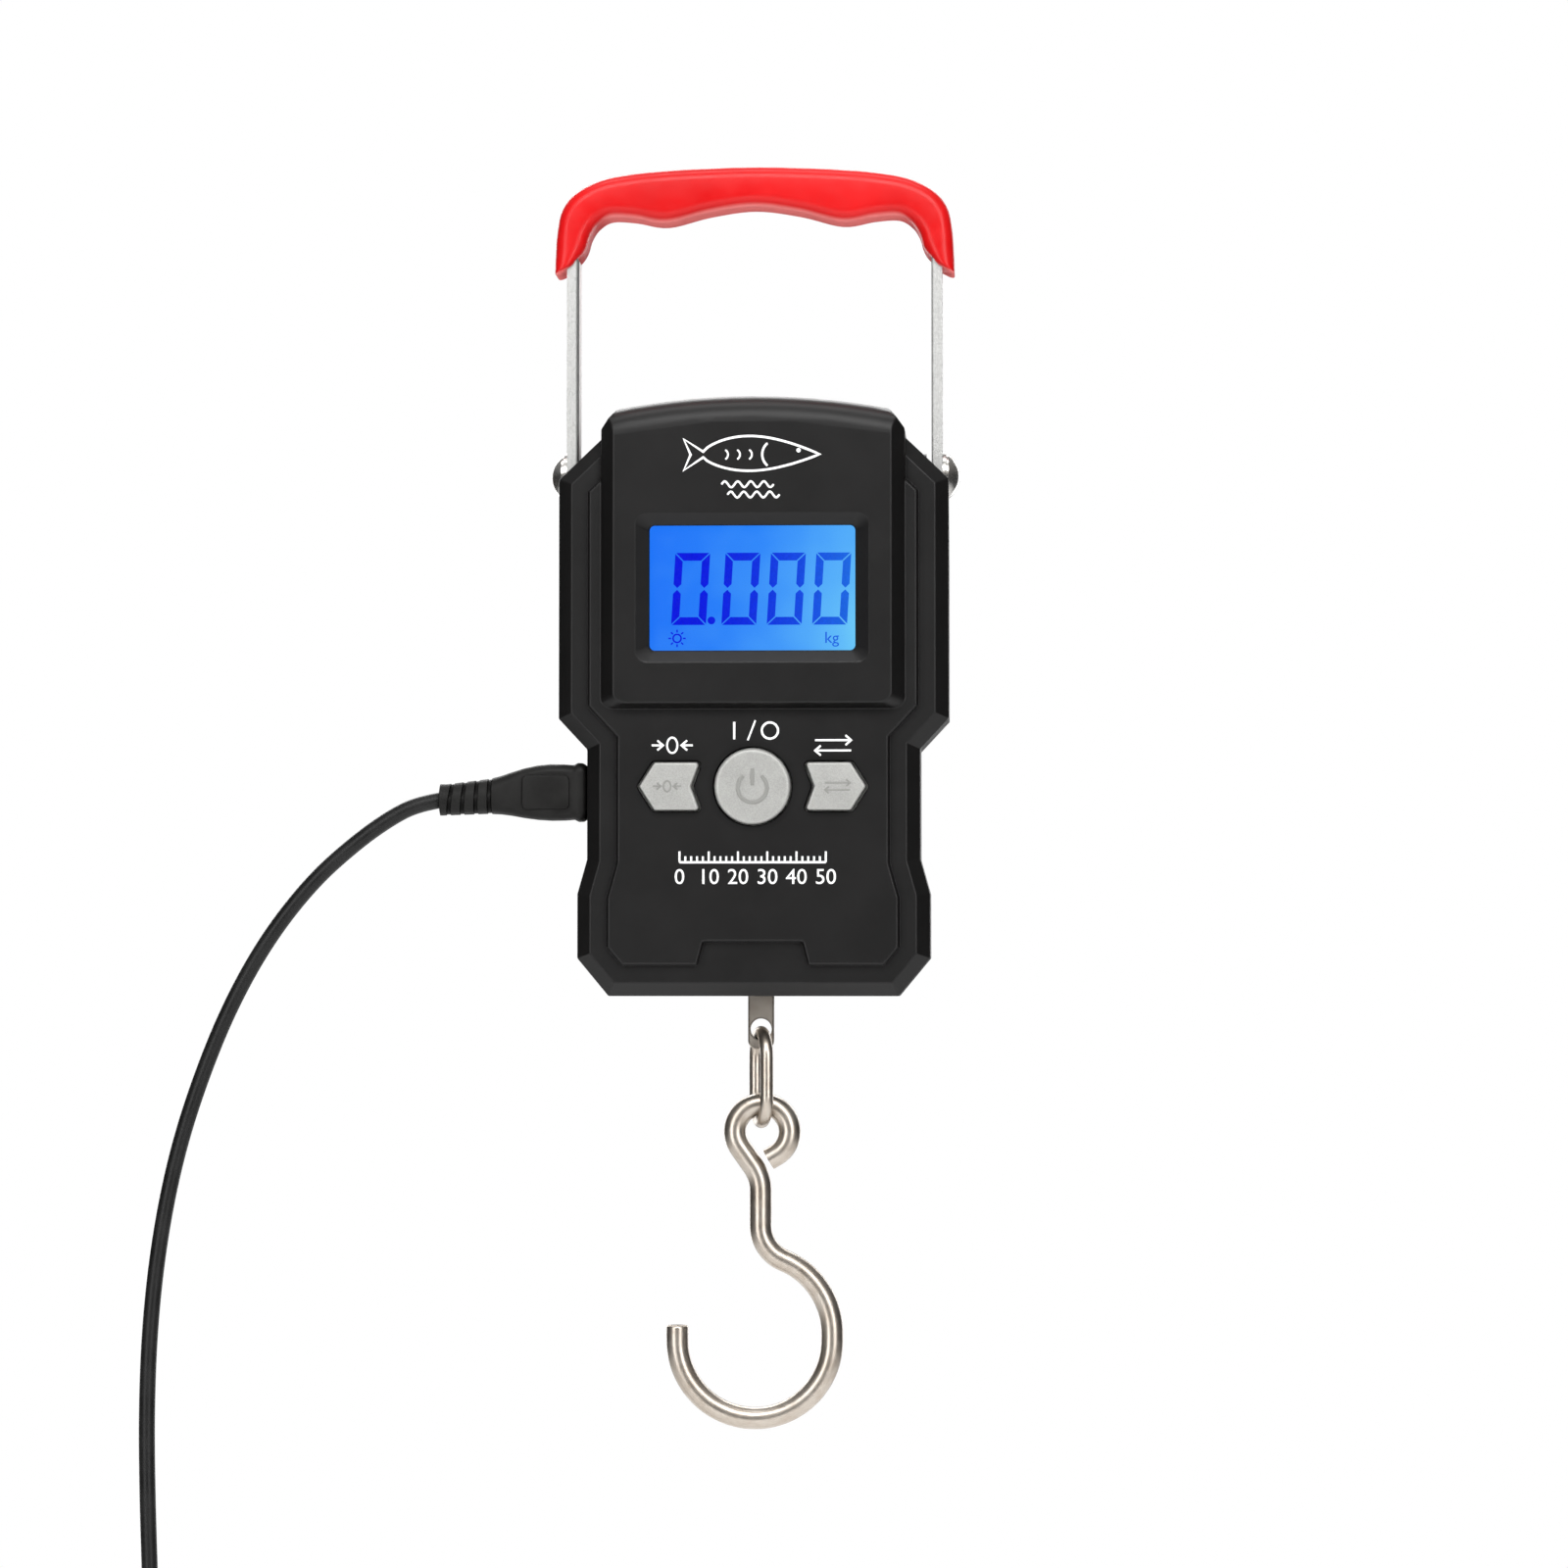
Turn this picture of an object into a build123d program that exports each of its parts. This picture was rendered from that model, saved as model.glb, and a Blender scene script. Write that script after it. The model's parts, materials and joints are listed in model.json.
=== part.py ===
from build123d import *
import os
from math import asin, cos, pi, radians, sin, tan

os.makedirs("parts", exist_ok=True)

# Digital fish scale. Millimetres, +Z up, the display faces -Y. Heights in the model are measured
# from the handle's pivot axis, which lies along X through Y = 0. Each piece is written with its
# origin moved to the middle of the grip's underside, where the scale is held.
GRIP_UNDERSIDE = 50.4

# Housing outline, seen from the front: half widths and heights
CROWN_HALF, NECK_HALF, BODY_HALF = 25.2, 28.1, 36.2
WAIST_HALF, SKIRT_HALF, BASE_HALF = 30.9, 32.7, 26.9
CROWN_TOP, CROWN_SIDE, NECK_TOP, NECK_FOOT = 14.2, 11.8, 8.0, 6.7
BODY_TOP, BODY_FOOT, WAIST_TOP, WAIST_FOOT = -1.0, -45.5, -51.2, -71.6
SKIRT_TOP, SKIRT_FOOT, BASE = -78.0, -89.9, -96.9

# Housing depths: y of each face, front to rear
POD_FACE, PLATE_FACE, LEDGE_FACE, SPLIT, REAR_FACE = -13.7, -10.7, -9.7, -4.8, 11.5
EDGE_BEVEL, PLATE_INSET, WALL, REAR_WALL = 2.5, 5.7, 2.0, 2.4
REAR_ROUND = 3.0

# Display pod and window
POD_FACE_HALF, POD_FOOT, POD_FACE_FOOT, POD_ROLL = 25.7, -43.8, -42.9, 5.0
WINDOW_WIDTH, WINDOW_HEIGHT, WINDOW_Z = 38.0, 23.1, -21.6
FRAME_WIDTH, FRAME_HEIGHT, FRAME_DEPTH = 43.2, 27.6, 1.7
POD_INNER = -11.6

# Keys
KEY_Z, KEY_GAP, KEY_PROUD = -58.2, 0.25, 1.3
POWER_R = 7.0
ARROW_TIP, ARROW_SHOULDER, ARROW_END, ARROW_NOTCH, ARROW_HALF = 21.2, 18.4, 9.6, 11.2, 4.4
FLANGE = 0.9

# Handle
STRAP_INNER, STRAP_THICK, STRAP_HALF, STRAP_TOP = 33.0, 2.0, 4.5, 54.4
PIVOT_R, RUNNING_GAP = 2.0, 0.06
FOLD_LIMIT = 135

# Board
BOARD_FRONT, BOARD_REAR, BOARD_TOP, BOARD_STEP, BOARD_FOOT = -4.5, -2.9, -4.0, -28.0, -80.0
BOARD_HALF, BOARD_WIDE_HALF = 25.0, 28.2

# Load path
HANG_X = 1.1
EAR_OUTER = 27.4
CELL_HALF_WIDTH, CELL_TOP, CELL_FOOT, CELL_THICK = 13.0, -10.2, -48.0, 5.0
HANGER_WIDTH, HANGER_THICK, HANGER_END, HANGER_HOLE_Z, HANGER_HOLE_R = 4.8, 2.0, -106.8, -103.1, 2.0
LINK_WIRE_R, LINK_LENGTH, LINK_WIDTH, LINK_TURN = 1.2, 19.0, 12.0, 15
HOOK_WIRE_R, HOOK_R, EYE_R = 2.05, 14.4, 5.1
CONTACT_GAP = 0.05

# Charging plug and lead
PLUG_Y, PLUG_Z = -1.5, -59.0
CORD_R = 1.5


# ---------------------------------------------------------------- helpers


def slab(profile, rear, front):
    """A plate with this front outline (x, z), from y = rear forward to y = front."""
    return extrude(Plane.XZ.offset(-rear) * profile, amount=rear - front)


def side_prism(profile, low, high):
    """A bar with this side outline (y, z), from x = low to x = high."""
    return extrude(Plane.YZ.offset(low) * profile, amount=high - low)


def top_prism(profile, low, high):
    """A bar with this plan outline (x, y), from z = low to z = high."""
    return extrude(Plane.XY.offset(low) * profile, amount=high - low)


def block(x, y, z):
    """A box between two limits along each axis."""
    size = (x[1] - x[0], y[1] - y[0], z[1] - z[0])
    return Pos(sum(x) / 2, sum(y) / 2, sum(z) / 2) * Box(*size)


def rod_x(y, z, radius, low, high):
    return side_prism(Pos(y, z) * Circle(radius), low, high)


def rod_y(x, z, radius, rear, front):
    return slab(Pos(x, z) * Circle(radius), rear, front)


def mirrored(right):
    """A closed chain of points from its right half, listed from top to bottom."""
    return right + [(-x, z) for x, z in reversed(right)]


def both_sides(piece):
    """A piece and its mirror image across the middle plane."""
    return [piece, mirror(piece, about=Plane.YZ)]


def wire_rod(path, radius):
    """A round rod along a path."""
    section = Plane(origin=path @ 0, z_dir=path % 0) * Circle(radius)
    return sweep(section, path=path)


def save(name, *solids):
    """Writes one piece, or a group of identical ones, with the origin at the grip."""
    found = [s for piece in solids for s in piece.solids()]
    moved = [Pos(0, 0, -GRIP_UNDERSIDE) * s for s in found]
    shape = moved[0] if len(moved) == 1 else Compound(children=moved)
    export_step(shape, f"parts/{name}.step")
    return shape


# ---------------------------------------------------------------- housing


def outline():
    """Front outline of the housing: arched crown, neck, shoulders, body, waist, skirt, base."""
    right = [
        (CROWN_HALF, CROWN_SIDE),
        (NECK_HALF, NECK_TOP),
        (NECK_HALF, NECK_FOOT),
        (BODY_HALF, BODY_TOP),
        (BODY_HALF, BODY_FOOT),
        (WAIST_HALF, WAIST_TOP),
        (WAIST_HALF, WAIST_FOOT),
        (SKIRT_HALF, SKIRT_TOP),
        (SKIRT_HALF, SKIRT_FOOT),
        (BASE_HALF, BASE),
    ]
    points = mirrored(right)
    crown = ThreePointArc(points[-1], (0, CROWN_TOP), points[0])
    return make_face(Polyline(*points) + crown)


def inset(amount):
    """The outline moved inwards with sharp corners."""
    return offset(outline(), amount=-amount, kind=Kind.INTERSECTION)


def strap_blocks(inner, foot):
    """Space beside the housing's upper sides, from x = inner outwards, above z = foot."""
    return both_sides(block((inner, 60), (-40, 40), (foot, 40)))


def display_pod():
    """The raised display pod: sloped sides and foot, rolled top edge."""
    right = [(CROWN_HALF, CROWN_SIDE), (NECK_HALF, NECK_TOP), (NECK_HALF, POD_FOOT)]
    points = mirrored(right)
    crown = ThreePointArc(points[-1], (0, CROWN_TOP), points[0])
    pod = slab(make_face(Polyline(*points) + crown), SPLIT, POD_FACE)
    top_edge = pod.edges().filter_by(GeomType.CIRCLE).sort_by(Axis.Y)[0]
    pod = fillet(top_edge, POD_ROLL)
    plan = mirrored([(NECK_HALF, SPLIT), (NECK_HALF, PLATE_FACE), (POD_FACE_HALF, POD_FACE)])
    pod &= top_prism(make_face(Polyline(*plan, close=True)), POD_FOOT - 1, CROWN_TOP + 1)
    side = [
        (SPLIT, POD_FOOT),
        (PLATE_FACE, POD_FOOT),
        (POD_FACE, POD_FACE_FOOT),
        (POD_FACE, CROWN_TOP + 1),
        (SPLIT, CROWN_TOP + 1),
    ]
    pod &= side_prism(make_face(Polyline(*side, close=True)), -NECK_HALF - 1, NECK_HALF + 1)
    corners = [
        e
        for e in pod.edges()
        if e.center().Z < POD_FACE_FOOT and abs(e.center().X) > POD_FACE_HALF and e.center().Y < -11
    ]
    pod = fillet(corners, 2.4)
    face_edges = [
        e
        for e in pod.edges()
        if abs(e.center().Y - POD_FACE) < 0.01 and e.center().Z < NECK_TOP - POD_ROLL
    ]
    return fillet(face_edges, 0.5)


def key_profile(side, grow):
    """Outline of a key: side 0 is the round power key, -1 and 1 are the arrows."""
    if side == 0:
        return Pos(0, KEY_Z) * Circle(POWER_R + grow)
    points = [
        (side * ARROW_TIP, KEY_Z),
        (side * ARROW_SHOULDER, KEY_Z + ARROW_HALF),
        (side * ARROW_END, KEY_Z + ARROW_HALF),
        (side * ARROW_NOTCH, KEY_Z),
        (side * ARROW_END, KEY_Z - ARROW_HALF),
        (side * ARROW_SHOULDER, KEY_Z - ARROW_HALF),
    ]
    face = make_face(Polyline(*points, close=True))
    face = fillet(face.vertices(), 0.5)
    return offset(face, amount=grow) if grow else face


CASE_SCREWS = [(20.0, 4.0), (-20.0, 4.0), (21.8, -86.0), (-21.8, -86.0)]
BOARD_SCREWS = [(22.3, -40.5), (-22.3, -40.5), (21.0, -76.0), (-21.0, -76.0)]


def front_shell():
    body = slab(outline(), SPLIT, LEDGE_FACE + EDGE_BEVEL)
    bevel = loft(
        [
            Plane.XZ.offset(-LEDGE_FACE - EDGE_BEVEL) * outline(),
            Plane.XZ.offset(-LEDGE_FACE) * inset(EDGE_BEVEL),
        ],
        ruled=True,
    )
    notch_points = mirrored([(9.1, BASE + 10.0), (10.5, BASE + PLATE_INSET - 1)])
    notch = make_face(Polyline(*notch_points, close=True))
    plate = slab(inset(PLATE_INSET) - notch, LEDGE_FACE, PLATE_FACE)
    plate = chamfer(plate.faces().sort_by(Axis.Y)[0].edges(), 0.35)
    shell = body + bevel + plate + display_pod()

    side_walls = strap_blocks(STRAP_INNER - 0.4 - WALL, -27)
    hollow = slab(inset(2.4), SPLIT, LEDGE_FACE + 2.0)
    for blocked in side_walls:
        hollow -= blocked
    hollow += slab(inset(PLATE_INSET + WALL), SPLIT, PLATE_FACE + 1.8)
    pod_room = Rectangle(2 * (POD_FACE_HALF - 1.8), 50)
    hollow += slab(Pos(0, -16.0) * pod_room, SPLIT, POD_INNER)
    shell -= hollow

    frame = [
        Plane.XZ.offset(-POD_FACE) * Pos(0, WINDOW_Z) * RectangleRounded(FRAME_WIDTH, FRAME_HEIGHT, 2.2),
        Plane.XZ.offset(-POD_FACE - FRAME_DEPTH)
        * Pos(0, WINDOW_Z)
        * RectangleRounded(WINDOW_WIDTH, WINDOW_HEIGHT, 1.0),
    ]
    shell -= loft(frame, ruled=True)
    opening = RectangleRounded(WINDOW_WIDTH, WINDOW_HEIGHT, 1.0)
    shell -= slab(Pos(0, WINDOW_Z) * opening, POD_INNER + 1, POD_FACE + FRAME_DEPTH)
    for side in (-1, 0, 1):
        shell -= slab(key_profile(side, KEY_GAP), SPLIT, PLATE_FACE - 1)
    for x, z in CASE_SCREWS:
        inner = POD_INNER if z > 0 else PLATE_FACE + 1.8
        shell += rod_y(x, z, 2.6, SPLIT, inner - 0.5)
        shell -= rod_y(x, z, 1.1, SPLIT, inner + 0.4)
    for x, z in BOARD_SCREWS:
        inner = POD_INNER if z > POD_FOOT else PLATE_FACE + 1.8
        shell += rod_y(x, z, 2.0, BOARD_FRONT, inner - 0.5)
        shell -= rod_y(x, z, 0.85, BOARD_FRONT, inner + 0.4)
    return shell


def strap_recess():
    """Side view of the space that the strap sweeps as the handle folds back."""
    clear = STRAP_HALF + 0.4
    turn = radians(FOLD_LIMIT + 2)
    along, across = (sin(turn), cos(turn)), (cos(turn), -sin(turn))
    start = (clear * across[0], clear * across[1])
    reach = (REAR_FACE + 2 - start[0]) / along[0]
    end = (REAR_FACE + 2, start[1] + reach * along[1])
    points = [start, end, (REAR_FACE + 2, 40), (-20, 40), (-20, 0), (-clear, 0)]
    return make_face(Polyline(*points, close=True)) + Circle(clear)


def rear_shell():
    shell = slab(outline(), REAR_FACE, SPLIT)
    shell = fillet(shell.faces().sort_by(Axis.Y)[-1].edges(), REAR_ROUND)
    for blocked in both_sides(side_prism(strap_recess(), STRAP_INNER - 0.4, 60)):
        shell -= blocked
    hollow = slab(inset(WALL), REAR_FACE - REAR_WALL, SPLIT)
    for blocked in strap_blocks(STRAP_INNER - 0.4 - WALL, -27):
        hollow -= blocked
    shell -= hollow
    for x, z in CASE_SCREWS:
        shell += rod_y(x, z, 3.2, REAR_FACE - REAR_WALL + 0.5, SPLIT)
        shell -= rod_y(x, z, 1.25, REAR_FACE, SPLIT)
        shell -= rod_y(x, z, 2.5, REAR_FACE, 5.0)
    for boss in both_sides(rod_x(0, 0, 4.2, EAR_OUTER + 0.1, STRAP_INNER - 1)):
        shell += boss
    shell -= rod_x(0, 0, PIVOT_R + 0.15, -40, 40)
    wall = (-WAIST_HALF - 1, -WAIST_HALF + 3)
    shell -= block(wall, (PLUG_Y - 1.7, PLUG_Y + 1.7), (PLUG_Z - 4.3, PLUG_Z + 4.3))
    slot = (HANG_X - 3.2, HANG_X + 3.2)
    shell -= block(slot, (-1.6, 1.6), (BASE - 1, BASE + 3))
    return shell


def case_screw(x, z):
    screw = rod_y(x, z, 1.05, 5.0, -8.2) + rod_y(x, z, 2.1, 6.6, 5.0)
    slots = Pos(x, z) * (Rectangle(2.4, 0.5) + Rectangle(0.5, 2.4))
    return screw - slab(slots, 6.6, 5.8)


# ---------------------------------------------------------------- display and board


def display_window():
    lens = Pos(0, WINDOW_Z) * RectangleRounded(WINDOW_WIDTH + 4, WINDOW_HEIGHT + 4, 1.0)
    return slab(lens, POD_INNER + 1.2, POD_INNER)


LCD_FRONT, LCD_GLASS, LCD_WIDE, LCD_FRONT_TALL, LCD_REAR_TALL = -10.3, 0.7, 46.0, 31.0, 28.0
LCD_REAR = LCD_FRONT + 2 * LCD_GLASS
GUIDE_WIDE, GUIDE_TALL, GUIDE_REAR = 41.0, 23.0, -5.9


def lcd_panel():
    """Two glass plates, the front one taller so that its contacts are open behind."""
    middle = LCD_FRONT + LCD_GLASS
    front_glass = slab(Pos(0, WINDOW_Z) * Rectangle(LCD_WIDE, LCD_FRONT_TALL), middle, LCD_FRONT)
    rear_glass = slab(Pos(0, WINDOW_Z) * Rectangle(LCD_WIDE, LCD_REAR_TALL), LCD_REAR, middle)
    return front_glass + rear_glass


def lcd_backlight():
    """Light guide with its lamp block at the right end, on four feet that stand on the board."""
    front = LCD_REAR + 0.1
    guide = slab(Pos(0, WINDOW_Z) * RectangleRounded(GUIDE_WIDE, GUIDE_TALL, 1), GUIDE_REAR, front)
    guide += slab(Pos(GUIDE_WIDE / 2 + 1, WINDOW_Z) * Rectangle(3, 8), GUIDE_REAR, front + 0.6)
    for x in (-18.0, 18.0):
        for z in (-9.0, 9.0):
            guide += rod_y(x, WINDOW_Z + z, 1.2, BOARD_FRONT, GUIDE_REAR)
    return guide


def zebra_strip(above):
    """Contact strip between the board and the open edge of the front glass."""
    open_edge = (LCD_FRONT_TALL - LCD_REAR_TALL) / 2
    strip = Pos(0, WINDOW_Z + above * (LCD_REAR_TALL + open_edge) / 2) * Rectangle(40, open_edge - 0.2)
    return slab(strip, BOARD_FRONT, LCD_FRONT + LCD_GLASS)


def main_board():
    """Circuit board, wider below the load frame's ears so that it reaches the socket."""
    corner = 1.5
    narrow = Pos(0, (BOARD_TOP + BOARD_FOOT) / 2)
    narrow *= RectangleRounded(2 * BOARD_HALF, BOARD_TOP - BOARD_FOOT, corner)
    wide = Pos(0, (BOARD_STEP + BOARD_FOOT) / 2)
    wide *= RectangleRounded(2 * BOARD_WIDE_HALF, BOARD_STEP - BOARD_FOOT, corner)
    board = slab(narrow + wide, BOARD_REAR, BOARD_FRONT)
    for x, z in BOARD_SCREWS:
        board -= rod_y(x, z, 1.1, BOARD_REAR, BOARD_FRONT)
    return board


def board_screw(x, z):
    head = rod_y(x, z, 1.7, BOARD_REAR + 1.1, BOARD_REAR)
    screw = head + rod_y(x, z, 0.8, BOARD_REAR, -7.4)
    return screw - slab(Pos(x, z) * Rectangle(1.8, 0.4), BOARD_REAR + 1.1, BOARD_REAR + 0.5)


def chip(x, z, width, height):
    body = slab(Pos(x, z) * Rectangle(width, height), BOARD_REAR + 1.0, BOARD_REAR)
    return chamfer(body.faces().sort_by(Axis.Y)[-1].edges(), 0.2)


def usb_socket():
    """Micro-USB receptacle on the back of the board, its mouth in the left side of the waist."""
    mouth, back = -WAIST_HALF + 0.9, -24.6
    profile = usb_profile(7.5, 2.8)
    shell = extrude(Plane.YZ.offset(mouth) * profile, amount=back - mouth)
    room = usb_profile(7.0, 2.2)
    return shell - extrude(Plane.YZ.offset(mouth) * room, amount=back - mouth - 0.4)


def usb_profile(width, thick):
    """Micro-USB section (y, z): one long face flat, the other with its corners cut."""
    cut = thick * 0.45
    right = width / 2
    points = [
        (-thick / 2, -right),
        (-thick / 2, right),
        (thick / 2 - cut, right),
        (thick / 2, right - cut),
        (thick / 2, -right + cut),
        (thick / 2 - cut, -right),
    ]
    return Pos(PLUG_Y, PLUG_Z) * make_face(Polyline(*points, close=True))


def usb_socket_tongue():
    return block((-29.0, -25.0), (PLUG_Y - 0.3, PLUG_Y + 0.2), (PLUG_Z - 1.9, PLUG_Z + 1.9))


SWITCHES = {"tare": -15.0, "power": 0.0, "unit": 15.0}
SWITCH_FRONT, PLUNGER_FRONT = -7.7, -8.4


def tact_switch(x):
    body = slab(Pos(x, KEY_Z) * RectangleRounded(6, 6, 0.4), BOARD_FRONT, SWITCH_FRONT)
    return body - rod_y(x, KEY_Z, 1.8, -6.2, SWITCH_FRONT)


def plunger(x):
    return rod_y(x, KEY_Z, 1.75, -7.0, PLUNGER_FRONT)


def key(side):
    """A hard key: bevelled cap, hollow behind, with a flange that keeps it in the shell."""
    cap = slab(key_profile(side, 0), PLUNGER_FRONT, PLATE_FACE - KEY_PROUD)
    cap = chamfer(cap.faces().sort_by(Axis.Y)[0].edges(), 0.45)
    flange = slab(key_profile(side, FLANGE), PLUNGER_FRONT, PLATE_FACE + 1.9)
    piece = cap + flange
    stem_x = side * SWITCHES["unit"]
    room = slab(key_profile(side, -1.2), PLUNGER_FRONT, PLATE_FACE + 0.3)
    stem = rod_y(stem_x, KEY_Z, 2.4, PLUNGER_FRONT, PLATE_FACE)
    return piece - (room - stem)


# ---------------------------------------------------------------- power


BATTERY_Z, BATTERY_REAR, BATTERY_WIDE, BATTERY_TALL, BATTERY_THICK = -69.0, 8.6, 38.0, 26.0, 5.4


def battery():
    pouch = Pos(HANG_X, BATTERY_Z) * RectangleRounded(BATTERY_WIDE, BATTERY_TALL, 1.5)
    cell = slab(pouch, BATTERY_REAR, BATTERY_REAR - BATTERY_THICK)
    return fillet(cell.edges().filter_by(GeomType.LINE).group_by(Axis.Y)[-1], 1.0)


def battery_tape():
    return slab(Pos(HANG_X, BATTERY_Z) * Rectangle(30, 18), REAR_FACE - REAR_WALL, BATTERY_REAR)


def battery_wires():
    """Twin lead from the battery's top edge to the back of the board."""
    top = BATTERY_Z + BATTERY_TALL / 2
    points = [(-12.0, 5.7, top), (-12.0, 5.7, -52.5), (-11.6, 1.0, -50.6), (-11.2, -2.3, -53.4)]
    return wire_rod(FilletPolyline(*points, radius=1.6), 0.7)


# ---------------------------------------------------------------- load path


def load_frame():
    """Steel U bracket: two ears that take the rivets and a web that carries the load cell."""
    ear_in = EAR_OUTER - 2.0
    ear = side_prism(Pos(0, -2.0) * RectangleRounded(9.0, 12.0, 2.0), ear_in, EAR_OUTER)
    web = block((-EAR_OUTER, EAR_OUTER), (-2.7, 4.5), (-8.0, -6.0))
    frame = web + ear + mirror(ear, about=Plane.YZ)
    frame -= rod_x(0, 0, PIVOT_R + 0.02, -40, 40)
    return frame - top_prism(Pos(HANG_X, 0) * Circle(1.6), -9, -5)


def load_cell():
    """S-type aluminium cell with two necks where it bends."""
    low, high = HANG_X - CELL_HALF_WIDTH, HANG_X + CELL_HALF_WIDTH
    cell = block((low, high), (-CELL_THICK / 2, CELL_THICK / 2), (CELL_FOOT, CELL_TOP))
    cell = fillet(cell.edges().filter_by(Axis.Y), 1.0)
    upper, lower = CELL_TOP - 9.0, CELL_FOOT + 9.0
    cell -= block((low - 1, high - 6), (-9, 9), (upper - 1.2, upper + 1.2))
    cell -= block((low + 6, high + 1), (-9, 9), (lower - 1.2, lower + 1.2))
    middle = (upper + lower) / 2
    for x in (HANG_X - 3.2, HANG_X + 3.2):
        cell -= rod_y(x, middle, 4.2, 9, -9)
    cell -= top_prism(Pos(HANG_X, 0) * Circle(1.55), CELL_TOP - 7.5, CELL_TOP + 1)
    fork = HANGER_WIDTH / 2 + 0.1
    cell -= block((HANG_X - fork, HANG_X + fork), (-1.05, 1.05), (CELL_FOOT - 1, CELL_FOOT + 6.5))
    return cell - rod_y(HANG_X, CELL_FOOT + 3.2, 1.02, 9, -9)


def load_cell_bolt():
    """Bolt down through the frame's web into the cell, with a spacer collar between them."""
    head = top_prism(Pos(HANG_X, 0) * RegularPolygon(2.6, 6), -6.0, -3.9)
    shank = top_prism(Pos(HANG_X, 0) * Circle(1.5), CELL_TOP - 7.0, -6.0)
    collar = top_prism(Pos(HANG_X, 0) * Circle(2.4), CELL_TOP, -8.0)
    return head + shank + collar


def strain_gauge(x, z):
    return slab(Pos(x, z) * Rectangle(5, 3), CELL_THICK / 2 + 0.2, CELL_THICK / 2)


def load_cell_wires():
    """Gauge lead from the cell's rear face, round its foot, to the back of the board."""
    points = [(8.5, 3.5, -29.0), (8.5, 4.2, -41.0), (9.0, 3.6, -51.0), (9.4, -2.0, -54.5)]
    return wire_rod(FilletPolyline(*points, radius=2.5), 0.6)


def hanger_plate():
    top = CELL_FOOT + 6.0
    middle, length = (top + HANGER_END) / 2, top - HANGER_END
    face = Pos(HANG_X, middle) * RectangleRounded(HANGER_WIDTH, length, 1.6)
    plate = slab(face, HANGER_THICK / 2, -HANGER_THICK / 2)
    plate = chamfer(plate.faces().sort_by(Axis.Y)[0].edges(), 0.2)
    plate -= rod_y(HANG_X, HANGER_HOLE_Z, HANGER_HOLE_R, 5, -5)
    return plate - rod_y(HANG_X, CELL_FOOT + 3.2, 1.02, 5, -5)


def hanger_pin():
    return rod_y(HANG_X, CELL_FOOT + 3.2, 1.0, CELL_THICK / 2, -CELL_THICK / 2)


# the link's curve bears on the two rims of the plate's hole, so its middle stands a little higher
LINK_ARCH = 0.15
LINK_TOP = HANGER_HOLE_Z - HANGER_HOLE_R + LINK_ARCH + CONTACT_GAP + 2 * LINK_WIRE_R
LINK_BOTTOM = LINK_TOP - LINK_LENGTH


def link_ring():
    """Oval wire link through the plate's hole, turned a little about the vertical."""
    half = LINK_WIDTH / 2 - LINK_WIRE_R
    top, foot = LINK_TOP - LINK_WIRE_R - half, LINK_BOTTOM + LINK_WIRE_R + half
    edges = [
        Line((half, foot), (half, top)),
        ThreePointArc((half, top), (0, top + half), (-half, top)),
        Line((-half, top), (-half, foot)),
        ThreePointArc((-half, foot), (0, foot - half), (half, foot)),
    ]
    turn = radians(LINK_TURN)
    across, normal = (sin(turn), -cos(turn), 0), (-cos(turn), -sin(turn), 0)
    plane = Plane(origin=(HANG_X, 0, 0), x_dir=across, z_dir=normal)
    path = Wire([plane * e for e in edges])
    return wire_rod(path, LINK_WIRE_R)


EYE_TOP = LINK_BOTTOM + 2 * LINK_WIRE_R + CONTACT_GAP + HOOK_WIRE_R
EYE_X, SHANK_X, BOWL_X = HANG_X + 0.2, HANG_X - 0.1, HANG_X - 1.2
EYE_Z = EYE_TOP - EYE_R
BOWL_Z, BOWL_LIFT, TIP_Z = -160.9, 1.5, -158.1


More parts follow.
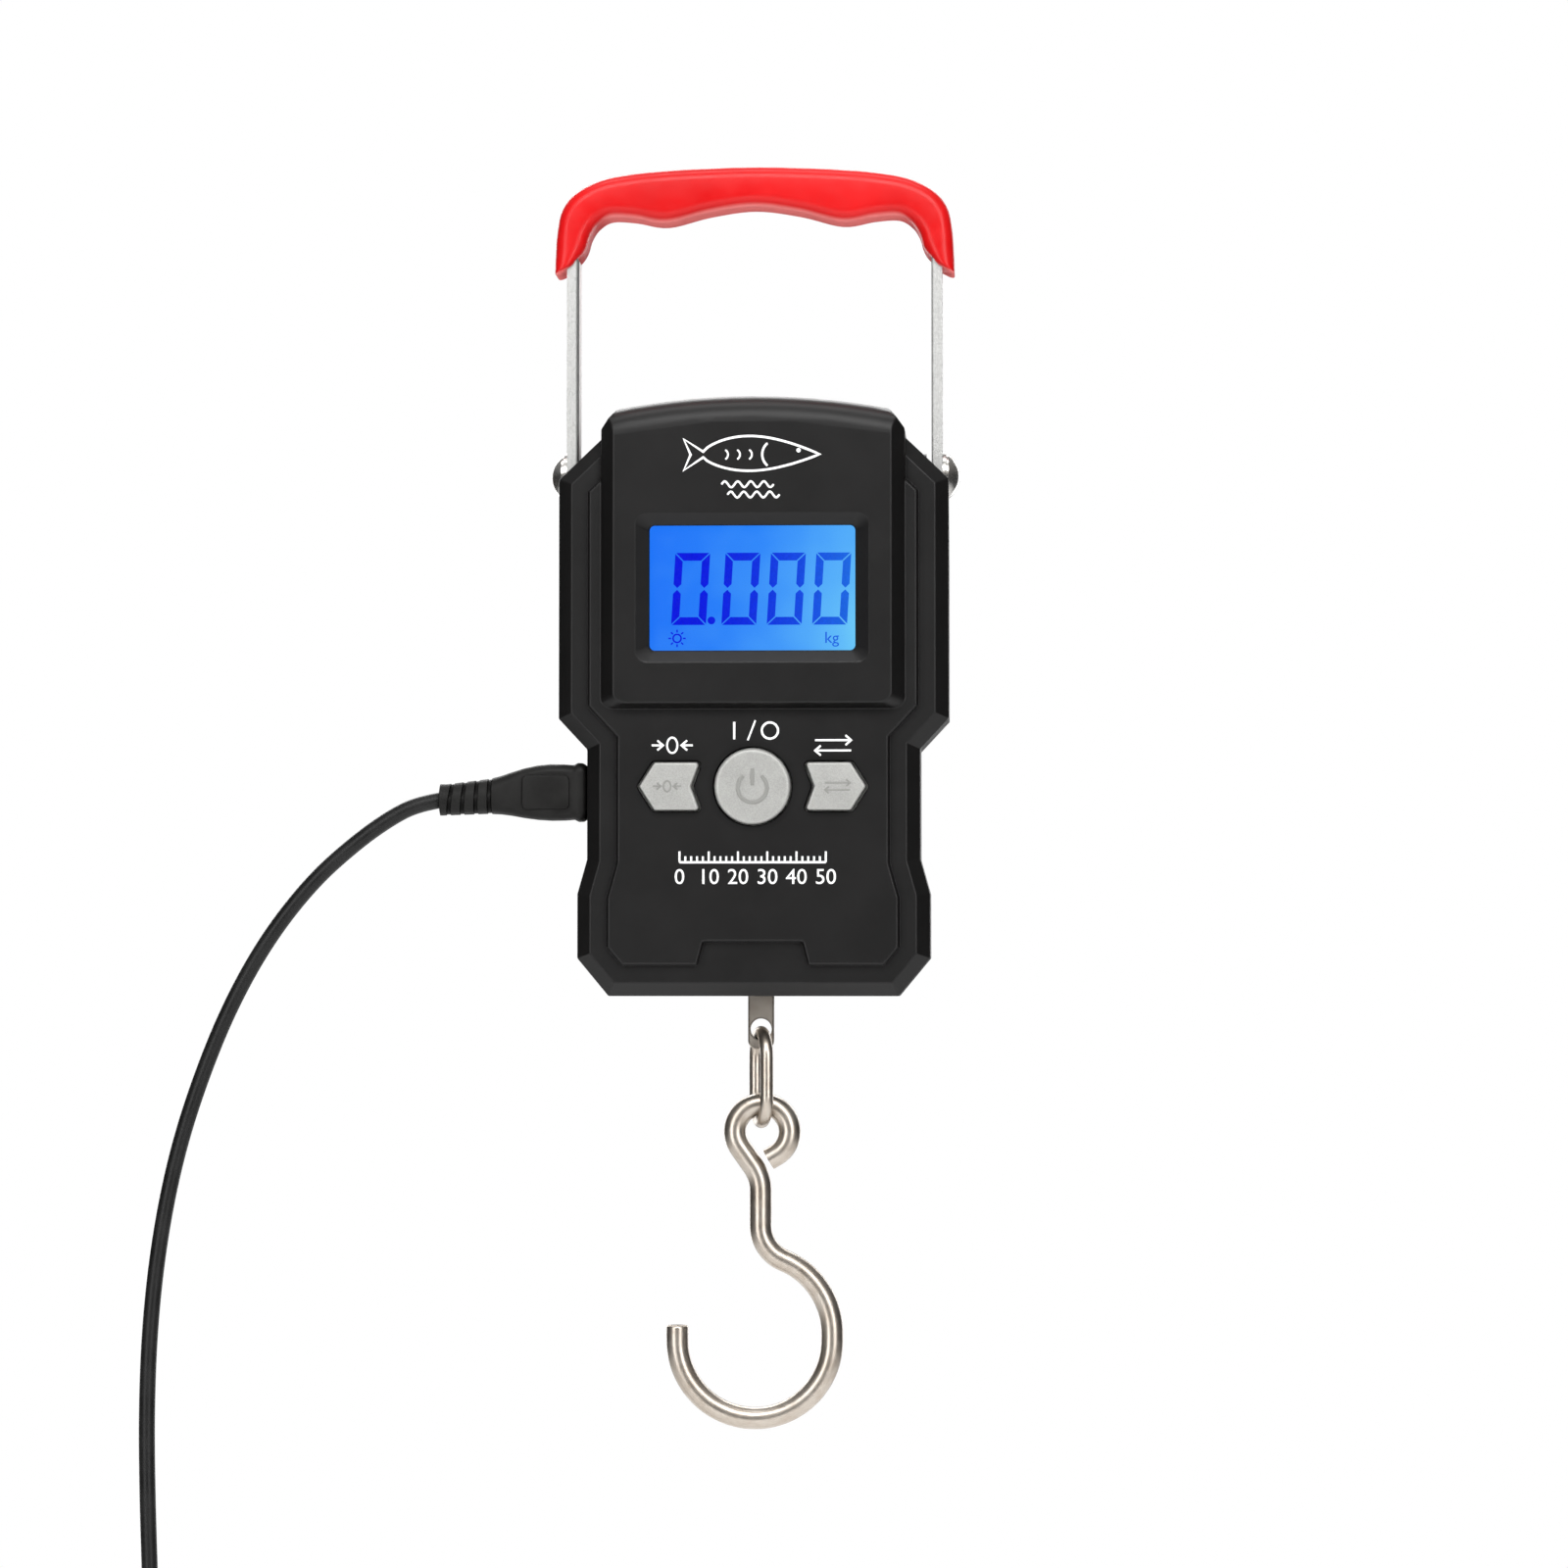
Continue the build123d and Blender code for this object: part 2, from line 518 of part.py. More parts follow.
def hook_path():
    """Centre line of the hook from its tip, round the bowl, up the shank and round the eye."""
    left, right = BOWL_X - HOOK_R, BOWL_X + HOOK_R
    crown_z, bend = BOWL_Z + BOWL_LIFT, 7.0
    # the shank's bend back to vertical touches the bowl's upper arc at this angle
    swing = pi / 2 - asin((SHANK_X - BOWL_X + bend) / (HOOK_R + bend))
    turn = (BOWL_X + (HOOK_R + bend) * cos(swing), crown_z + (HOOK_R + bend) * sin(swing))
    leave = (BOWL_X + HOOK_R * cos(swing), crown_z + HOOK_R * sin(swing))
    mid = (turn[0] - bend * cos(swing / 2), turn[1] - bend * sin(swing / 2))
    shank_foot = (SHANK_X, turn[1])
    half_swing = (BOWL_X + HOOK_R * cos(swing / 2), crown_z + HOOK_R * sin(swing / 2))

    lean, neck = radians(35), 8.0
    touch = (EYE_X - EYE_R * cos(lean), EYE_Z - EYE_R * sin(lean))
    neck_x = SHANK_X - neck * (1 - cos(lean))
    run = (neck_x - touch[0]) / sin(lean)
    neck_end = (neck_x, touch[1] - run * cos(lean))
    neck_foot = (SHANK_X, neck_end[1] - neck * sin(lean))
    neck_mid = (SHANK_X - neck * (1 - cos(lean / 2)), neck_foot[1] + neck * sin(lean / 2))
    leave_eye = radians(-60)
    eye_foot = (EYE_X + EYE_R * cos(leave_eye), EYE_Z + EYE_R * sin(leave_eye))
    eye_end = (eye_foot[0] + 1.6 * sin(leave_eye), eye_foot[1] - 1.6 * cos(leave_eye))
    edges = [
        Line((left, TIP_Z), (left, BOWL_Z)),
        ThreePointArc((left, BOWL_Z), (BOWL_X, BOWL_Z - HOOK_R), (right, BOWL_Z)),
        Line((right, BOWL_Z), (right, crown_z)),
        ThreePointArc((right, crown_z), half_swing, leave),
        ThreePointArc(leave, mid, shank_foot),
        Line(shank_foot, neck_foot),
        ThreePointArc(neck_foot, neck_mid, neck_end),
        Line(neck_end, touch),
        ThreePointArc(touch, (EYE_X, EYE_Z + EYE_R), eye_foot),
        Line(eye_foot, eye_end),
    ]
    return Wire([Plane.XZ * e for e in edges])


def hook():
    piece = wire_rod(hook_path(), HOOK_WIRE_R)
    ends = piece.edges().filter_by(GeomType.CIRCLE)
    tip = [e for e in ends if abs(e.center().Z - TIP_Z) < 0.1 and abs(e.radius - HOOK_WIRE_R) < 0.01]
    return fillet(tip, 0.5)


# ---------------------------------------------------------------- handle


def handle_strap():
    """Flat steel strap bent to a U, with round ends about the pivots."""
    outer, corner = STRAP_INNER + STRAP_THICK, 10.0
    low = -STRAP_HALF - 1
    tall = STRAP_TOP - low
    whole = Pos(0, low + tall / 2) * Rectangle(2 * outer, tall)
    gap = Pos(0, low + (tall - STRAP_THICK) / 2) * Rectangle(2 * STRAP_INNER, tall - STRAP_THICK)
    whole = fillet(whole.vertices().group_by(Axis.Y)[-1], corner)
    gap = fillet(gap.vertices().group_by(Axis.Y)[-1], corner - STRAP_THICK)
    strap = slab(whole - gap, STRAP_HALF, -STRAP_HALF)
    side = Pos(0, STRAP_TOP / 2) * Rectangle(2 * STRAP_HALF, STRAP_TOP) + Circle(STRAP_HALF)
    strap &= side_prism(side, -40, 40)
    return strap - rod_x(0, 0, PIVOT_R + RUNNING_GAP, -40, 40)


def grip_profile():
    """Front outline of the grip: arched top, round shoulders, short legs, waved underside."""
    top, shoulder, side = 57.8, 56.0, 37.4
    leg_tip, inner_tip = 37.6, 41.2
    inner = 31.2
    right = [
        ThreePointArc((0, top), (13, top - 0.45), (26, shoulder)),
        Spline((26, shoulder), (34.3, 52.8), (36.9, 46.5), tangents=[(1, -0.13), (0.12, -1)]),
        Line((36.9, 46.5), (side, leg_tip)),
        Line((side, leg_tip), (inner + 1.2, inner_tip)),
        Spline((inner + 1.2, inner_tip), (30.4, 46.0), (27.0, 48.3), tangents=[(-0.35, 1), (-1, 0.25)]),
        Spline(
            (27.0, 48.3),
            (23.5, 48.7),
            (16.8, 47.3),
            (8.5, 49.2),
            (0, GRIP_UNDERSIDE),
            tangents=[(-1, 0.25), (-1, 0)],
        ),
    ]
    left = [mirror(e, about=Plane.YZ) for e in right]
    face = make_face(Wire.combine(Curve(children=right + left).edges())[0])
    tips = [v for v in face.vertices() if v.Y < inner_tip + 0.1]
    return fillet(tips, 0.9)


def handle_grip():
    """Soft-edged moulded grip round the strap's top, cut out where the strap lies in it."""
    grip = slab(grip_profile(), 5.75, -5.75)
    faces = grip.faces().sort_by(Axis.Y)
    grip = fillet(faces[0].edges() + faces[-1].edges(), 1.4)
    return grip - handle_strap()


def rivet():
    """Right-hand rivet: dome head outside, upset head inside the load frame's ear."""
    head_x = STRAP_INNER + STRAP_THICK + 0.75
    ear_in = EAR_OUTER - 2.0
    head_r, rim, rise = 4.1, 0.4, 2.1
    half = [
        (ear_in - 0.9, 0),
        (ear_in - 0.9, 2.8),
        (ear_in, 2.8),
        (ear_in, PIVOT_R),
        (head_x, PIVOT_R),
        (head_x, head_r),
        (head_x + rim, head_r),
    ]
    top = (head_x + rim + rise, 0)
    dome_r = (head_r**2 + rise**2) / (2 * rise)
    quarter = asin(head_r / dome_r) / 2
    middle = (top[0] - dome_r * (1 - cos(quarter)), dome_r * sin(quarter))
    section = make_face(Polyline(top, *half) + ThreePointArc(half[-1], middle, top))
    return revolve(section, Axis.X)


def pivot_washer():
    inner, outer = STRAP_INNER + STRAP_THICK + 0.05, STRAP_INNER + STRAP_THICK + 0.7
    return rod_x(0, 0, 4.6, inner, outer) - rod_x(0, 0, PIVOT_R + RUNNING_GAP, inner, outer)


# ---------------------------------------------------------------- charging lead

RELIEF_START = -48.8
RELIEF_TILT = 10
CORD_START = (-58.8, PLUG_Y, -60.4)

# The lead's route: out of the strain relief, over in one falling curve, then straight down
CORD_ROUTE = [
    CORD_START,
    (-63.1, -1.5, -61.14),
    (-67.9, -1.4, -63.5),
    (-74.5, -1.2, -68.1),
    (-82.9, -0.9, -75.5),
    (-91.3, -0.4, -86.1),
    (-98.4, 0.2, -98.6),
    (-104.1, 0.8, -112.4),
    (-108.6, 1.3, -126.5),
    (-111.7, 1.6, -141.7),
    (-113.5, 1.7, -157.6),
    (-114.1, 1.6, -174.0),
    (-113.8, 1.3, -190.5),
    (-113.2, 1.1, -206.0),
    (-112.7, 1.0, -219.5),
]
HANK_LEFT, HANK_FOLD_R, HANK_TOP, HANK_FOOT = -112.7, 12.0, -226.0, -271.0
HANK_SECTION_R, HANK_Y = 4.0, 1.0
USB_A_TOP = -295.0


def corner_radii(route):
    """0.45 of the shorter run beside each corner, over the tangent of half its turn."""
    points = [Vector(*p) for p in route]
    runs = [b - a for a, b in zip(points, points[1:])]
    radii = []
    for before, after in zip(runs, runs[1:]):
        half_turn = radians(before.get_angle(after)) / 2
        radii.append(0.45 * min(before.length, after.length) / tan(half_turn))
    return radii


def cord_tube(route):
    radii = corner_radii(route)
    path = FilletPolyline(*route, radius=radii) if radii else Line(*route)
    tube = wire_rod(path, CORD_R)
    expected = pi * CORD_R**2 * path.length
    print("cord radii", [round(r, 1) for r in radii], "length", round(path.length, 1))
    print("cord volume", round(tube.volume, 1), "section times length", round(expected, 1))
    return tube


def charging_plug_boot():
    """Moulded plug body, lipped at the socket end, tapering to a ridged strain relief."""
    mouth, waist, neck = -WAIST_HALF - 0.1, -42.0, RELIEF_START
    half_z, half_y = 5.2, 3.7
    lip = Pos(PLUG_Y, PLUG_Z) * RectangleRounded(2 * half_y + 0.4, 2 * half_z + 0.5, 1.4)
    lip = extrude(Plane.YZ.offset(mouth) * lip, amount=-2.0)
    grip = Pos(PLUG_Y, PLUG_Z) * RectangleRounded(2 * half_y, 2 * half_z, 1.4)
    grip = extrude(Plane.YZ.offset(mouth - 2.0) * grip, amount=waist - mouth + 2.0)
    taper = loft(
        [
            Plane.YZ.offset(waist) * Pos(PLUG_Y, PLUG_Z) * RectangleRounded(2 * half_y, 2 * half_z, 1.4),
            Plane.YZ.offset(neck) * Pos(PLUG_Y, PLUG_Z - 0.1) * RectangleRounded(5.6, 6.5, 1.9),
        ]
    )
    boot = lip + grip + taper
    panel = Pos((mouth + waist) / 2 - 0.6, PLUG_Z) * RectangleRounded(8.6, 6.6, 0.6)
    boot -= slab(panel, PLUG_Y - half_y + 0.35, -20)
    boot -= slab(panel, 20, PLUG_Y + half_y - 0.35)
    tilt = radians(RELIEF_TILT)
    outward = Vector(-cos(tilt), 0, -sin(tilt))
    end = Plane(origin=CORD_START, x_dir=(0, 1, 0), z_dir=outward)
    length = (RELIEF_START - CORD_START[0]) / cos(tilt) + 0.5
    boot += loft([end.offset(-length) * Circle(3.1), end * Circle(2.7)])
    for step in range(4):
        at = end.offset(-1.6 - 2.0 * step)
        boot -= extrude(at * (Circle(4) - Circle(2.0)), amount=-0.9)
    inner = usb_profile(6.95, 1.95)
    return boot - extrude(Plane.YZ.offset(mouth) * inner, amount=-3.0)


def charging_plug_shell():
    """Folded steel shell of the plug, from inside the moulding into the socket."""
    outer = extrude(Plane.YZ.offset(-WAIST_HALF - 3.1) * usb_profile(6.9, 1.9), amount=7.2)
    inner = extrude(Plane.YZ.offset(-WAIST_HALF - 1.0) * usb_profile(6.4, 1.4), amount=6.0)
    return outer - inner


def charging_plug_tongue():
    rear, front = PLUG_Y - 0.68, PLUG_Y - 0.35
    return block((-WAIST_HALF - 0.9, -WAIST_HALF + 3.8), (rear, front), (PLUG_Z - 2.9, PLUG_Z + 2.9))


def hank_path():
    right = HANK_LEFT + 2 * HANK_FOLD_R
    middle = HANK_LEFT + HANK_FOLD_R
    edges = [
        Line((HANK_LEFT, HANK_TOP), (HANK_LEFT, HANK_FOOT)),
        ThreePointArc((HANK_LEFT, HANK_FOOT), (middle, HANK_FOOT - HANK_FOLD_R), (right, HANK_FOOT)),
        Line((right, HANK_FOOT), (right, HANK_TOP)),
        ThreePointArc((right, HANK_TOP), (middle, HANK_TOP + HANK_FOLD_R), (HANK_LEFT, HANK_TOP)),
    ]
    plane = Plane.XZ.offset(-HANK_Y)
    return Wire([plane * e for e in edges])


def hank():
    """Outer shape of the lead's put-away length, folded to and fro."""
    return wire_rod(hank_path(), HANK_SECTION_R)


def cord_tie():
    """Band round the middle of the hank."""
    middle = HANK_LEFT + HANK_FOLD_R
    width = 2 * (HANK_FOLD_R + HANK_SECTION_R)
    depth = 2 * HANK_SECTION_R
    inner = Pos(middle, HANK_Y) * RectangleRounded(width, depth, HANK_SECTION_R - 0.01)
    outer = Pos(middle, HANK_Y) * RectangleRounded(width + 2.4, depth + 2.4, HANK_SECTION_R + 1.19)
    centre = (HANK_TOP + HANK_FOOT) / 2
    return top_prism(outer - inner, centre - 4, centre + 4)


TAIL_X = HANK_LEFT + 2 * HANK_FOLD_R
TAIL_ROUTE = [(TAIL_X, HANK_Y, HANK_FOOT - 4), (TAIL_X, HANK_Y, USB_A_TOP)]


def usb_a_boot():
    """Moulded body of the lead's other plug, pointing down, with a ridged strain relief."""
    at = Pos(TAIL_X, HANK_Y)
    relief_end, body_foot = USB_A_TOP - 8.0, USB_A_TOP - 28.0
    relief = loft(
        [Plane.XY.offset(USB_A_TOP) * at * Circle(2.3), Plane.XY.offset(relief_end) * at * Circle(3.0)]
    )
    for step in range(3):
        level = USB_A_TOP - 1.6 - 2.1 * step
        relief -= top_prism(at * (Circle(5) - Circle(1.9)), level - 0.9, level)
    section = at * RectangleRounded(15.4, 7.6, 1.8)
    neck = loft(
        [
            Plane.XY.offset(relief_end) * at * RectangleRounded(6.4, 6.0, 1.8),
            Plane.XY.offset(relief_end - 4.0) * section,
        ]
    )
    body = top_prism(section, body_foot, relief_end - 4.0)
    return relief + neck + body - top_prism(at * Rectangle(12.1, 4.6), body_foot, body_foot + 6)


def usb_a_shell():
    at = Pos(TAIL_X, HANK_Y)
    body_foot = USB_A_TOP - 28.0
    outer = top_prism(at * Rectangle(12.0, 4.5), body_foot - 12.0, body_foot + 5.9)
    inner = top_prism(at * Rectangle(11.4, 3.9), body_foot - 12.0, body_foot + 5.0)
    shell = outer - inner
    for x in (-2.8, 2.8):
        shell -= block((TAIL_X + x - 1.1, TAIL_X + x + 1.1), (-20, 20), (body_foot - 8.5, body_foot - 6.3))
    return shell


def usb_a_tongue():
    body_foot = USB_A_TOP - 28.0
    block_y = (HANK_Y + 0.05, HANK_Y + 1.9)
    return block((TAIL_X - 5.65, TAIL_X + 5.65), block_y, (body_foot - 11.4, body_foot + 4.9))


# ---------------------------------------------------------------- write every piece


def main():
    save("front_shell", front_shell())
    save("rear_shell", rear_shell())
    save("case_screws", *[case_screw(x, z) for x, z in CASE_SCREWS])
    save("display_window", display_window())
    save("lcd_panel", lcd_panel())
    save("lcd_backlight", lcd_backlight())
    save("zebra_strips", zebra_strip(1), zebra_strip(-1))
    save("main_board", main_board())
    save("board_screws", *[board_screw(x, z) for x, z in BOARD_SCREWS])
    save("controller_chips", chip(-12, -68, 9, 9), chip(13, -68, 5, 6.4))
    save("battery_wires", battery_wires())
    save("load_cell_wires", load_cell_wires())
    save("usb_socket", usb_socket())
    save("usb_socket_tongue", usb_socket_tongue())
    save("tact_switches", *[tact_switch(x) for x in SWITCHES.values()])
    for name, side in (("tare", -1), ("power", 0), ("unit", 1)):
        save(f"{name}_plunger", plunger(SWITCHES[name]))
        save(f"{name}_button", key(side))
    save("battery", battery())
    save("battery_tape", battery_tape())
    save("load_frame", load_frame())
    save("load_cell", load_cell())
    save("load_cell_bolt", load_cell_bolt())
    gauge_places = [(HANG_X + x, z) for x in (-3.2, 3.2) for z in (-22.5, -35.5)]
    save("strain_gauges", *[strain_gauge(x, z) for x, z in gauge_places])
    save("hanger_plate", hanger_plate())
    save("hanger_pin", hanger_pin())
    save("link_ring", link_ring())
    save("hook", hook())
    save("handle_strap", handle_strap())
    save("handle_grip", handle_grip())
    save("pivot_rivets", *both_sides(rivet()))
    save("pivot_washers", *both_sides(pivot_washer()))
    save("charging_plug_boot", charging_plug_boot())
    save("charging_plug_shell", charging_plug_shell())
    save("charging_plug_tongue", charging_plug_tongue())
    whole_hank = hank()
    save("charging_cord", cord_tube(CORD_ROUTE) - whole_hank)
    save("charging_cord_hank", whole_hank)
    save("charging_cord_tail", cord_tube(TAIL_ROUTE) - whole_hank)
    save("cord_tie", cord_tie())
    save("usb_a_boot", usb_a_boot())
    save("usb_a_shell", usb_a_shell())
    save("usb_a_tongue", usb_a_tongue())


main()
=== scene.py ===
import json
from math import atan2, cos, pi, radians, sin, tan

import bmesh
import bpy
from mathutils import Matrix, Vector


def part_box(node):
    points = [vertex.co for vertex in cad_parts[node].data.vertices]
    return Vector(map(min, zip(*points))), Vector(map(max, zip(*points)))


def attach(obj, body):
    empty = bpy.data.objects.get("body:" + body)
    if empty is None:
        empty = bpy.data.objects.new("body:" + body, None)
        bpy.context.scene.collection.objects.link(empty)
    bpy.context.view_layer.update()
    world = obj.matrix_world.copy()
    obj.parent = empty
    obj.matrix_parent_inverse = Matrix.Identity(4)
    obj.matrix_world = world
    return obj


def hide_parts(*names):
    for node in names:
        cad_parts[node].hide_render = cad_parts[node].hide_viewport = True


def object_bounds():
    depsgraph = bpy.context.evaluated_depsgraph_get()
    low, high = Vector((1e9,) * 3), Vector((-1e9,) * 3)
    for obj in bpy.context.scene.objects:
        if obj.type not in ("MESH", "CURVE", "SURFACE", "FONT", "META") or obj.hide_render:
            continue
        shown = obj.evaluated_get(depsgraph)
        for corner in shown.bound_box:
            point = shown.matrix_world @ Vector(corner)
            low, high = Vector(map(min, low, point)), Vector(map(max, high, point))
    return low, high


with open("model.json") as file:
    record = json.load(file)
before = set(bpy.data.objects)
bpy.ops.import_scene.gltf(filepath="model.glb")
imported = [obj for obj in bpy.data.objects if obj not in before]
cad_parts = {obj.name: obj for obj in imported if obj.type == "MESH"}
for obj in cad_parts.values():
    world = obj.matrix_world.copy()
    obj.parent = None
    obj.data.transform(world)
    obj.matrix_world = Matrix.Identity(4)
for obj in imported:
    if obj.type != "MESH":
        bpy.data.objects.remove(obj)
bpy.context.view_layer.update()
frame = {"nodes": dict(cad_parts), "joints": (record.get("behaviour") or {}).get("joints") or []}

# Digital fish scale, hung by its grip. Sizes below are millimetres from the handle's pivot axis:
# +X to the right, +Y to the rear, +Z up. at() turns them into the frame's metres.
MM = 0.001
JOINTS = {joint["name"]: joint for joint in frame["joints"]}
PIVOT_Z = JOINTS["housing_swing"]["pos_m"][2]


def at(x, y, z):
    return Vector((x * MM, y * MM, PIVOT_Z + z * MM))


def limits(node):
    """A CAD node's lowest and highest corner, in millimetres from the pivot."""
    low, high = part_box(node)
    shift = Vector((0, 0, PIVOT_Z))
    return (Vector(low) - shift) / MM, (Vector(high) - shift) / MM


# ---------------- camera

VIEW_AZIMUTH, VIEW_RISE, VIEW_DISTANCE = 2.4, -2.0, 0.9265
VIEW_AIM = at(5.35, 0, -57.4)
LENS = 114


def make_camera():
    data = bpy.data.cameras.new("camera")
    data.lens = LENS
    camera = bpy.data.objects.new("camera", data)
    bpy.context.scene.collection.objects.link(camera)
    turn, rise = radians(VIEW_AZIMUTH), radians(VIEW_RISE)
    back = Vector((sin(turn) * cos(rise), -cos(turn) * cos(rise), sin(rise)))
    camera.location = VIEW_AIM + back * VIEW_DISTANCE
    camera.rotation_euler = (-back).to_track_quat("-Z", "Y").to_euler()
    bpy.context.scene.camera = camera


# ---------------- material graphs


class Graph:
    """One procedural material: object coordinates, a principled shader, and nodes between."""

    def __init__(self, name):
        self.material = bpy.data.materials.new(name)
        self.material.use_nodes = True
        self.tree = self.material.node_tree
        self.shader = self.tree.nodes["Principled BSDF"]
        self.place = self.add("ShaderNodeTexCoord").outputs["Object"]

    def add(self, kind, inputs=None, **settings):
        node = self.tree.nodes.new(kind)
        for key, value in settings.items():
            setattr(node, key, value)
        for key, value in (inputs or {}).items():
            self.give(node.inputs[key], value)
        return node

    def give(self, socket, value):
        """Sets a socket to a plain value, or joins it to another node's output."""
        if isinstance(value, bpy.types.NodeSocket):
            self.tree.links.new(value, socket)
        else:
            socket.default_value = value

    def set(self, **inputs):
        for key, value in inputs.items():
            self.give(self.shader.inputs[key.replace("_", " ")], value)

    def stretched(self, x, y, z):
        scale = self.add("ShaderNodeMapping", {"Vector": self.place, "Scale": (x, y, z)})
        return scale.outputs["Vector"]

    def noise(self, size_mm, detail=3.0, rough=0.55, place=None):
        """Noise with features of about this size."""
        inputs = {"Vector": place or self.place, "Scale": 1 / (size_mm * MM),
                  "Detail": detail, "Roughness": rough}
        return self.add("ShaderNodeTexNoise", inputs).outputs["Fac"]

    def cells(self, size_mm, place=None):
        inputs = {"Vector": place or self.place, "Scale": 1 / (size_mm * MM)}
        return self.add("ShaderNodeTexVoronoi", inputs)

    def ranged(self, value, low, high, start=0.0, end=1.0):
        """Maps a value between start and end to low and high."""
        inputs = {"Value": value, "From Min": start, "From Max": end, "To Min": low, "To Max": high}
        return self.add("ShaderNodeMapRange", inputs).outputs["Result"]

    def mixed(self, factor, first, second):
        # a colour mix takes its colours at inputs 6 and 7
        inputs = {"Factor": factor, 6: rgba(first), 7: rgba(second)}
        return self.add("ShaderNodeMix", inputs, data_type="RGBA").outputs[2]

    def maths(self, operation, first, second=0.0):
        return self.add("ShaderNodeMath", {0: first, 1: second}, operation=operation).outputs[0]

    def bump(self, height, depth_mm, under=None):
        node = self.add("ShaderNodeBump", {"Height": height, "Distance": depth_mm * MM})
        if under is not None:
            self.give(node.inputs["Normal"], under)
        return node.outputs["Normal"]

    def rounded(self, radius_mm):
        """Shading normal with edges rounded by this radius."""
        return self.add("ShaderNodeBevel", {"Radius": radius_mm * MM}, samples=4).outputs["Normal"]

    def edge_mask(self, radius_mm):
        """1 on edges, 0 on flats; it places edge wear with painted highlight, polished key bevels and
        the painted dark rims of a strip.
        """
        normals = {0: self.rounded(radius_mm), 1: self.add("ShaderNodeNewGeometry").outputs["Normal"]}
        same = self.add("ShaderNodeVectorMath", normals, operation="DOT_PRODUCT").outputs["Value"]
        return self.ranged(same, 1.0, 0.0, 0.80, 0.995)

    def painted_shade_mask(self, reach_mm):
        """Painted shade mask: 1 on open faces, towards 0 deep inside slots and corners."""
        node = self.add("ShaderNodeAmbientOcclusion", {"Distance": reach_mm * MM}, samples=4)
        return self.ranged(node.outputs["AO"], 0.0, 1.0, 0.45, 0.85)

    def facing(self, axis):
        """The surface normal's part along a frame axis."""
        normal = self.add("ShaderNodeNewGeometry").outputs["Normal"]
        return self.add("ShaderNodeSeparateXYZ", {"Vector": normal}).outputs[axis]

    def show_mixed(self, factor, first, second):
        """Shows a mix of two shader nodes."""
        inputs = {"Fac": factor, 1: first.outputs[0], 2: second.outputs[0]}
        both = self.add("ShaderNodeMixShader", inputs)
        self.give(self.tree.nodes["Material Output"].inputs["Surface"], both.outputs[0])

    def along(self, axis):
        """Position along a frame axis, in millimetres from the pivot."""
        parts = self.add("ShaderNodeSeparateXYZ", {"Vector": self.place})
        shifted = self.maths("SUBTRACT", parts.outputs[axis], PIVOT_Z if axis == "Z" else 0.0)
        return self.maths("DIVIDE", shifted, MM)


def rgba(color):
    if isinstance(color, bpy.types.NodeSocket) or len(color) == 4:
        return color
    return (*color, 1.0)


def moulded(name, color, rough, grain_mm=0.16, grain_depth=0.006, shade=1.35, gloss=0.5, painted_shade_mm=0.0):
    """Moulded plastic: fine spark-eroded grain, faint flow variation, polished edges lightened by wear
    and a painted highlight, gloss dimmed by painted shade in nooks.
    """
    g = Graph(name)
    edge_round = 0.18
    drift = g.noise(9.0, 2.0)
    grain = g.noise(grain_mm, 2.0, 0.6)
    lighter = tuple(min(1.0, c * shade) for c in color)
    base = g.mixed(g.ranged(drift, 0.0, 1.0, 0.3, 0.7), color, lighter)
    edge = g.edge_mask(edge_round * 1.6)
    wear_and_highlight = tuple(min(1.0, c * 1.9 + 0.01) for c in color)
    # edges lighter: partly wear, partly a painted highlight
    g.set(Base_Color=g.mixed(g.maths("MULTIPLY", edge, 0.55), base, wear_and_highlight))
    wide = g.ranged(drift, rough - 0.012, rough + 0.012, 0.3, 0.7)
    g.set(Roughness=g.maths("SUBTRACT", wide, g.maths("MULTIPLY", edge, 0.10)))
    g.set(Normal=g.bump(grain, grain_depth, under=g.rounded(edge_round)))
    # painted shade: gloss dimmed in nooks
    g.set(Specular_IOR_Level=g.maths("MULTIPLY", g.painted_shade_mask(painted_shade_mm), gloss) if painted_shade_mm else gloss)
    return g.material


def grip_plastic():
    """Glossy red moulding, a little deeper in patches, with a painted pale reflection where it faces
    down.
    """
    g = Graph("grip_red")
    drift = g.noise(14.0, 2.0)
    base = g.mixed(g.ranged(drift, 0.0, 1.0, 0.3, 0.7), (0.47, 0.0022, 0.003), (0.54, 0.004, 0.005))
    below = g.ranged(g.facing("Z"), 0.8, 0.0, -0.98, -0.70)
    # painted reflection: downward faces turn pale pink, standing in for light from the floor
    g.set(Base_Color=g.mixed(below, base, (0.86, 0.19, 0.18)))
    g.set(Roughness=g.ranged(g.noise(3.0), 0.30, 0.42, 0.3, 0.7))
    g.set(Normal=g.bump(g.noise(0.5, 3.0), 0.004))
    g.set(Coat_Weight=0.04, Coat_Roughness=0.15, Specular_IOR_Level=0.24)
    return g.material


def key_plastic():
    """Silver-grey key lacquer: fine flake on the cap, brighter polished bevel."""
    g = Graph("key_silver")
    flake = g.cells(0.12).outputs["Color"]
    level = g.add("ShaderNodeSeparateColor", {"Color": flake}).outputs["Red"]
    drift = g.noise(4.0)
    spread = g.maths("ADD", g.maths("MULTIPLY", level, 0.5), g.maths("MULTIPLY", drift, 0.5))
    base = g.mixed(g.ranged(spread, 0.0, 1.0, 0.25, 0.75), (0.28, 0.28, 0.268), (0.37, 0.37, 0.355))
    edge = g.edge_mask(0.25)
    g.set(Base_Color=g.mixed(edge, base, (0.62, 0.62, 0.60)))
    g.set(Metallic=g.ranged(edge, 0.30, 0.75), Roughness=g.ranged(edge, 0.42, 0.20))
    g.set(Normal=g.bump(g.noise(0.14, 2.0), 0.003, under=g.rounded(0.12)))
    return g.material


STRAP_THICK = 2.0


